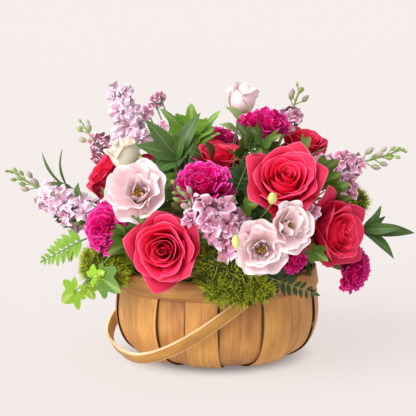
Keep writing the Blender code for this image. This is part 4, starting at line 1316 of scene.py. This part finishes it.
# The finishes. Where a colour is a (setting, factor) pair, it is that setting's colour times the factor.
FINISHES = [
    # Deep colour, body, rim, where the deep one ends and the rim starts, variation, roughness, sheen, glow.
    # The rose's, carnation's and lisianthus's deep colours are painted shade deep in the bloom, and glow is
    # painted light that the petal gives off.
    (petal_material, {
        "Rose petal": (
            (0.48, 0.003, 0.042), ("rose", 1), (0.94, 0.12, 0.23), 0.7, 0.955, 0.5, 0.68, 0.0, 0.0,
        ),
        "Carnation petal": (
            (0.52, 0.0, 0.15), ("carnation", 1), (1.0, 0.16, 0.62), 0.6, 0.92, 0.5, 0.75, 0.0, 0.0,
        ),
        "Lisianthus petal": (
            (0.74, 0.38, 0.34), ("lisianthus", 1), (1.0, 0.90, 0.91), 0.5, 0.8, 0.12, 0.6, 0.0, 0.035,
        ),
        "Cream bud petal": (
            (0.46, 0.56, 0.14), (0.92, 0.86, 0.68), (0.98, 0.82, 0.80), 0.55, 0.8, 0.2, 0.6, 0.0, 0.03,
        ),
        "Stock petal": (
            (0.46, 0.34, 0.16), ("stock", 1), (0.92, 0.70, 0.84), 0.34, 0.76, 0.5, 0.55, 0.05, 0.0,
        ),
        "Pale stock petal": (
            (0.62, 0.60, 0.28), (0.88, 0.60, 0.74), (0.94, 0.80, 0.90), 0.26, 0.75, 0.25, 0.5, 0.06, 0.0,
        ),
        "Stock bud": (
            (0.30, 0.42, 0.14), (0.50, 0.42, 0.34), (0.70, 0.40, 0.60), 0.7, 0.7, 0.3, 0.5, 0.06, 0.0,
        ),
    }),
    # Blade, rib, edge, variation.
    (leaf_material, {
        "Green stem": ((0.11, 0.22, 0.04), (0.24, 0.38, 0.10), (0.12, 0.24, 0.05), 0.35),
        "Dark leaf": (("leaf", 1), (0.30, 0.42, 0.16), ("leaf", 1.2), 0.35),
        "Bright leaf": ((0.13, 0.27, 0.02), (0.40, 0.52, 0.16), (0.17, 0.32, 0.03), 0.35),
        "Pale leaf": ((0.30, 0.42, 0.14), (0.48, 0.58, 0.28), (0.34, 0.46, 0.18), 0.3),
        "Ivy leaf": ((0.09, 0.18, 0.02), (0.34, 0.44, 0.15), (0.13, 0.24, 0.03), 0.35),
        "Young ivy leaf": ((0.24, 0.44, 0.02), (0.56, 0.66, 0.18), (0.30, 0.50, 0.04), 0.3),
        "Bright fern": ((0.18, 0.36, 0.012), (0.30, 0.48, 0.04), (0.20, 0.38, 0.02), 0.25),
        "Dark fern": ((0.016, 0.05, 0.008), (0.04, 0.09, 0.014), (0.02, 0.06, 0.01), 0.25),
        "Bud green": ((0.28, 0.40, 0.11), (0.42, 0.52, 0.2), (0.3, 0.42, 0.14), 0.35),
        "Lime bud": ((0.62, 0.66, 0.20), (0.72, 0.74, 0.34), (0.66, 0.68, 0.24), 0.35),
    }),
    # Root, tip. The dark root is painted shade deep in the cushion, and the sunlit copy is painted light.
    (moss_material, {
        "Moss threads": ((0.022, 0.026, 0.003), ("moss", 1)),
        "Sunlit moss threads": ((0.10, 0.13, 0.012), ("moss", 1.25)),
    }),
    # Pale colour, dark colour, strength of the streaks.
    (wood_material, {
        "Honey splint": (("splint", 1), ("splint_dark", 1), 0.40),
        "Bail outer face": (("bail", 1), ("bail", 0.62), 0.5),
        "Bail cut edge": ((0.88, 0.68, 0.40), (0.70, 0.46, 0.20), 0.4),
        "Bail inner face": ((0.66, 0.36, 0.11), (0.46, 0.22, 0.06), 0.4),
    }),
    # Colour, other colour, roughness, fineness of the mottle, metallic.
    (mottled_material, {
        "Base board wood": ((0.58, 0.35, 0.16), (0.44, 0.24, 0.10), 0.6, 260),
        "Dull pin metal": ((0.52, 0.46, 0.38), (0.40, 0.34, 0.27), 0.4, 900, 1.0),
        "Wet foam": ((0.035, 0.075, 0.03), (0.015, 0.04, 0.015), 0.95, 700),
        "Liner plastic": ((0.02, 0.05, 0.02), (0.03, 0.06, 0.03), 0.35, 60),
        "Stigma": ((0.36, 0.38, 0.10), (0.22, 0.20, 0.05), 0.7, 900),
        "Anther": ((0.75, 0.42, 0.04), (0.55, 0.26, 0.02), 0.8, 900),
        "Moss core": ((0.030, 0.045, 0.008), (0.012, 0.02, 0.004), 0.95, 300),
    }),
]


def colour_of(value):
    """A number or colour as it is; a (setting, factor) pair as the setting's colour times the factor."""
    if not isinstance(value, tuple) or not isinstance(value[0], str):
        return value
    name, factor = value
    settings = basket_settings() if hasattr(basket_settings(), name) else flower_settings()
    return tuple(min(1.0, c * factor) for c in getattr(settings, name))


def finishes(*names):
    """The materials of those names, each made the first time that it is asked for."""
    found = []
    for name in names:
        for make, table in FINISHES:
            if name in table and name not in bpy.data.materials:
                make(name, *map(colour_of, table[name]))
        found.append(bpy.data.materials[name])
    return found


def dress(node, name):
    """Gives a solid that shows as it is one finish."""
    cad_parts[node].data.materials.clear()
    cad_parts[node].data.materials.append(*finishes(name))


# ---------------------------------------------------------------- operators


class BASKET_OT_staves(bpy.types.Operator):
    """Make the splints of the basket's wall and finish its base board"""

    bl_idname = "basket.staves"
    bl_label = "Splint Wall"

    def execute(self, context):
        make_staves(*finishes("Honey splint"))
        dress("base_board", "Base board wood")
        return {"FINISHED"}


class BASKET_OT_rims(bpy.types.Operator):
    """Make the two hoops that hold the splints at the top"""

    bl_idname = "basket.rims"
    bl_label = "Rim Hoops"

    def execute(self, context):
        inside = STAVE_THICK * 2 + LAYER_GAP + RIM_GAP + RIM_THICK
        make_rim("rim_band_outer", RIM_GAP, 3, *finishes("Honey splint"))
        make_rim("rim_band_inner", -inside, 5, *finishes("Honey splint"))
        return {"FINISHED"}


class BASKET_OT_bail(bpy.types.Operator):
    """Make the swinging bail handle and finish its pins"""

    bl_idname = "basket.bail"
    bl_label = "Bail Handle"

    def execute(self, context):
        make_bail(finishes("Bail outer face", "Bail cut edge", "Bail inner face"))
        dress("pivot_pin_front", "Dull pin metal")
        dress("pivot_pin_back", "Dull pin metal")
        return {"FINISHED"}


class BASKET_OT_foam(bpy.types.Operator):
    """Finish the foam block and its plastic liner"""

    bl_idname = "basket.foam"
    bl_label = "Foam and Liner"

    def execute(self, context):
        dress("floral_foam", "Wet foam")
        dress("plastic_liner", "Liner plastic")
        return {"FINISHED"}


class BASKET_OT_roses(bpy.types.Operator):
    """Make the roses"""

    bl_idname = "basket.roses"
    bl_label = "Roses"

    def execute(self, context):
        for rose in ROSES:
            make_bloom("rose", finishes("Rose petal", "Green stem"), *rose)
        return {"FINISHED"}


class BASKET_OT_carnations(bpy.types.Operator):
    """Make the carnations"""

    bl_idname = "basket.carnations"
    bl_label = "Carnations"

    def execute(self, context):
        for carnation in CARNATIONS:
            make_bloom("carnation", finishes("Carnation petal", "Green stem"), *carnation)
        return {"FINISHED"}


class BASKET_OT_lisianthus(bpy.types.Operator):
    """Make the lisianthus blooms and buds"""

    bl_idname = "basket.lisianthus"
    bl_label = "Lisianthus"

    def execute(self, context):
        for bloom in LISIANTHUS:
            make_bloom("lisianthus", finishes("Lisianthus petal", "Green stem", "Stigma", "Anther"), *bloom)
        for bud_place, petals in zip(LISIANTHUS_BUDS, ("Cream bud petal", "Lisianthus petal")):
            make_bloom("bud", finishes(petals, "Green stem"), *bud_place)
        return {"FINISHED"}


class BASKET_OT_stocks(bpy.types.Operator):
    """Make the spikes of stock"""

    bl_idname = "basket.stocks"
    bl_label = "Stock Spikes"

    def execute(self, context):
        for stock in STOCKS:
            petals = "Pale stock petal" if stock[0] in ("stock_left", "stock_top_left") else "Stock petal"
            make_stock(finishes(petals, "Bud green", "Stock bud"), *stock)
        return {"FINISHED"}


class BASKET_OT_greens(bpy.types.Operator):
    """Make the leaf sprays, ivy, fern fronds and filler leaves"""

    bl_idname = "basket.greens"
    bl_label = "Leaves, Ivy and Fern"

    def execute(self, context):
        for spray in LEAF_SPRAYS:
            make_spray(finishes("Dark leaf", "Green stem"), *spray)
        for (name, points, leaves), blade in zip(IVY_SPRAYS, IVY_FINISHES):
            old_leaf = 0 if blade == "Young ivy leaf" else None
            make_spray(finishes(blade, "Green stem", "Ivy leaf"), name, points, leaves, True, old_leaf)
        for frond, blade in zip(FERNS, ("Bright fern", "Dark fern")):
            make_fern(finishes(blade, "Green stem"), *frond, frond[0])
        for i, frond in enumerate(GAP_FRONDS):
            make_fern(finishes("Dark fern", "Green stem"), f"fern_gap_{i + 1}", *frond)
        make_filler(finishes("Dark leaf", "Green stem", "Bright leaf"))
        make_accents(finishes("Dark leaf", "Green stem", "Lime bud", "Stock petal", "Ivy leaf", "Pale leaf"))
        return {"FINISHED"}


class BASKET_OT_moss(bpy.types.Operator):
    """Make the cushions of moss"""

    bl_idname = "basket.moss"
    bl_label = "Moss"

    def execute(self, context):
        for name, values in MOSS.items():
            make_moss(name, *values)
            dress(name, "Moss core")
        return {"FINISHED"}


class BASKET_OT_stage(bpy.types.Operator):
    """Set the floor, the light and the camera"""

    bl_idname = "basket.stage"
    bl_label = "Floor, Light and Camera"

    def execute(self, context):
        make_floor()
        make_light()
        make_camera()
        return {"FINISHED"}


OPERATORS = (
    BASKET_OT_stage, BASKET_OT_staves, BASKET_OT_rims, BASKET_OT_bail, BASKET_OT_foam, BASKET_OT_roses,
    BASKET_OT_carnations, BASKET_OT_lisianthus, BASKET_OT_stocks, BASKET_OT_greens, BASKET_OT_moss,
)


# ---------------------------------------------------------------- stage


FLOOR_RINGS = np.array([[0.0, 0.3, 0.8, 2.0, 6.0, 20.0, 60.0]]).T
FLOOR_COLOUR = (0.18, 0.171, 0.168)
# The glow's colour under the basket is a painted contact shadow.
PAINTED_SHADOW_UNDER, GLOW_AROUND, GLOW_STRENGTH = (0.34, 0.30, 0.285), (1.0, 0.925, 0.90), 0.68
SHADOW_FADE_START_END = (0.066, 0.108)  # from the basket's middle, where the painted contact shadow ends and the glow rises to its full strength
SKY_COLOUR, SKY_STRENGTH = (1.0, 0.985, 0.97, 1), 0.68
SUN_STRENGTH, SUN_WIDTH, SUN_SIDE = 3.1, math.radians(60), Vector((-0.86, -0.62, 0.70))
CAMERA_TARGET, CAMERA_RANGE = Vector((-0.0095, 0, 0.154)), 100


def make_floor():
    """A wide, plain, pale floor that glows a little so that shadows stay faint; under the basket the glow is
    dimmed as a painted contact shadow.
    """
    angles = np.linspace(0, 2 * math.pi, 64, endpoint=False)
    pile = Pile()
    pile.grid(around(angles, FLOOR_RINGS, 0), closed=True)
    mesh = bpy.data.meshes.new("floor")
    mesh.from_pydata(pile.verts[0].tolist(), [], pile.faces)
    floor = bpy.data.objects.new("floor", mesh)
    bpy.context.collection.objects.link(floor)
    finish, nodes, shader = blank_material("Pale floor", 0.9, 0.1)
    place = nodes.add("ShaderNodeTexCoord").outputs["Object"]
    away = nodes.give(nodes.add("ShaderNodeVectorMath", operation="LENGTH"), {0: place})["Value"]
    # Painted contact shadow: the glow is dimmed under the basket.
    glow = nodes.mix(nodes.smooth(away, *SHADOW_FADE_START_END), PAINTED_SHADOW_UNDER, GLOW_AROUND)
    values = {"Base Color": FLOOR_COLOUR, "Emission Color": glow, "Emission Strength": GLOW_STRENGTH}
    nodes.give(shader, values)
    mesh.materials.append(finish)


def make_light():
    """Soft daylight from all round, with a large soft sun from the upper left."""
    scene = bpy.context.scene
    world = bpy.data.worlds.new("Soft studio") if scene.world is None else scene.world
    scene.world = world
    world.use_nodes = True
    back = world.node_tree.nodes["Background"]
    back.inputs["Color"].default_value = SKY_COLOUR
    back.inputs["Strength"].default_value = SKY_STRENGTH
    light = bpy.data.lights.new("Soft sun", "SUN")
    light.energy = SUN_STRENGTH
    light.angle = SUN_WIDTH
    lamp = bpy.data.objects.new("Soft sun", light)
    lamp.rotation_euler = SUN_SIDE.to_track_quat("Z", "Y").to_euler()
    scene.collection.objects.link(lamp)
    scene.view_settings.view_transform = "Standard"


def make_camera():
    """The camera, in front of the arrangement and a little above it."""
    s = stage_settings()
    camera = bpy.data.cameras.new("Camera")
    camera.lens = s.lens
    camera.clip_end = CAMERA_RANGE
    back = Vector((0, -math.cos(s.elevation), math.sin(s.elevation)))
    holder = bpy.data.objects.new("Camera", camera)
    holder.location = CAMERA_TARGET + back * s.distance
    holder.rotation_euler = back.to_track_quat("Z", "Y").to_euler()
    bpy.context.scene.collection.objects.link(holder)
    bpy.context.scene.camera = holder


# ---------------------------------------------------------------- panel and running


class BASKET_PT_panel(bpy.types.Panel):
    """The arrangement's settings and pieces"""

    bl_label = "Flower Basket"
    bl_idname = "BASKET_PT_panel"
    bl_space_type = "VIEW_3D"
    bl_region_type = "UI"
    bl_category = "Flower Basket"

    def draw(self, context):
        scene = context.scene
        for group in (scene.flower_basket_wood, scene.flower_basket_flowers, scene.flower_basket_stage):
            box = self.layout.box()
            for name in group.__annotations__:
                box.prop(group, name)
        for operator in OPERATORS:
            self.layout.operator(operator.bl_idname)


SETTINGS = {
    "flower_basket_wood": BasketSettings,
    "flower_basket_flowers": FlowerSettings,
    "flower_basket_stage": StageSettings,
}


def register():
    for kind in (*SETTINGS.values(), *OPERATORS, BASKET_PT_panel):
        bpy.utils.register_class(kind)
    for name, kind in SETTINGS.items():
        setattr(bpy.types.Scene, name, bpy.props.PointerProperty(type=kind))


def unregister():
    for name in SETTINGS:
        delattr(bpy.types.Scene, name)
    for kind in (BASKET_PT_panel, *reversed(OPERATORS), *reversed(SETTINGS.values())):
        bpy.utils.unregister_class(kind)


def main():
    register()
    for operator in OPERATORS:
        family, name = operator.bl_idname.split(".")
        getattr(getattr(bpy.ops, family), name)()


if __name__ == "__main__":
    main()
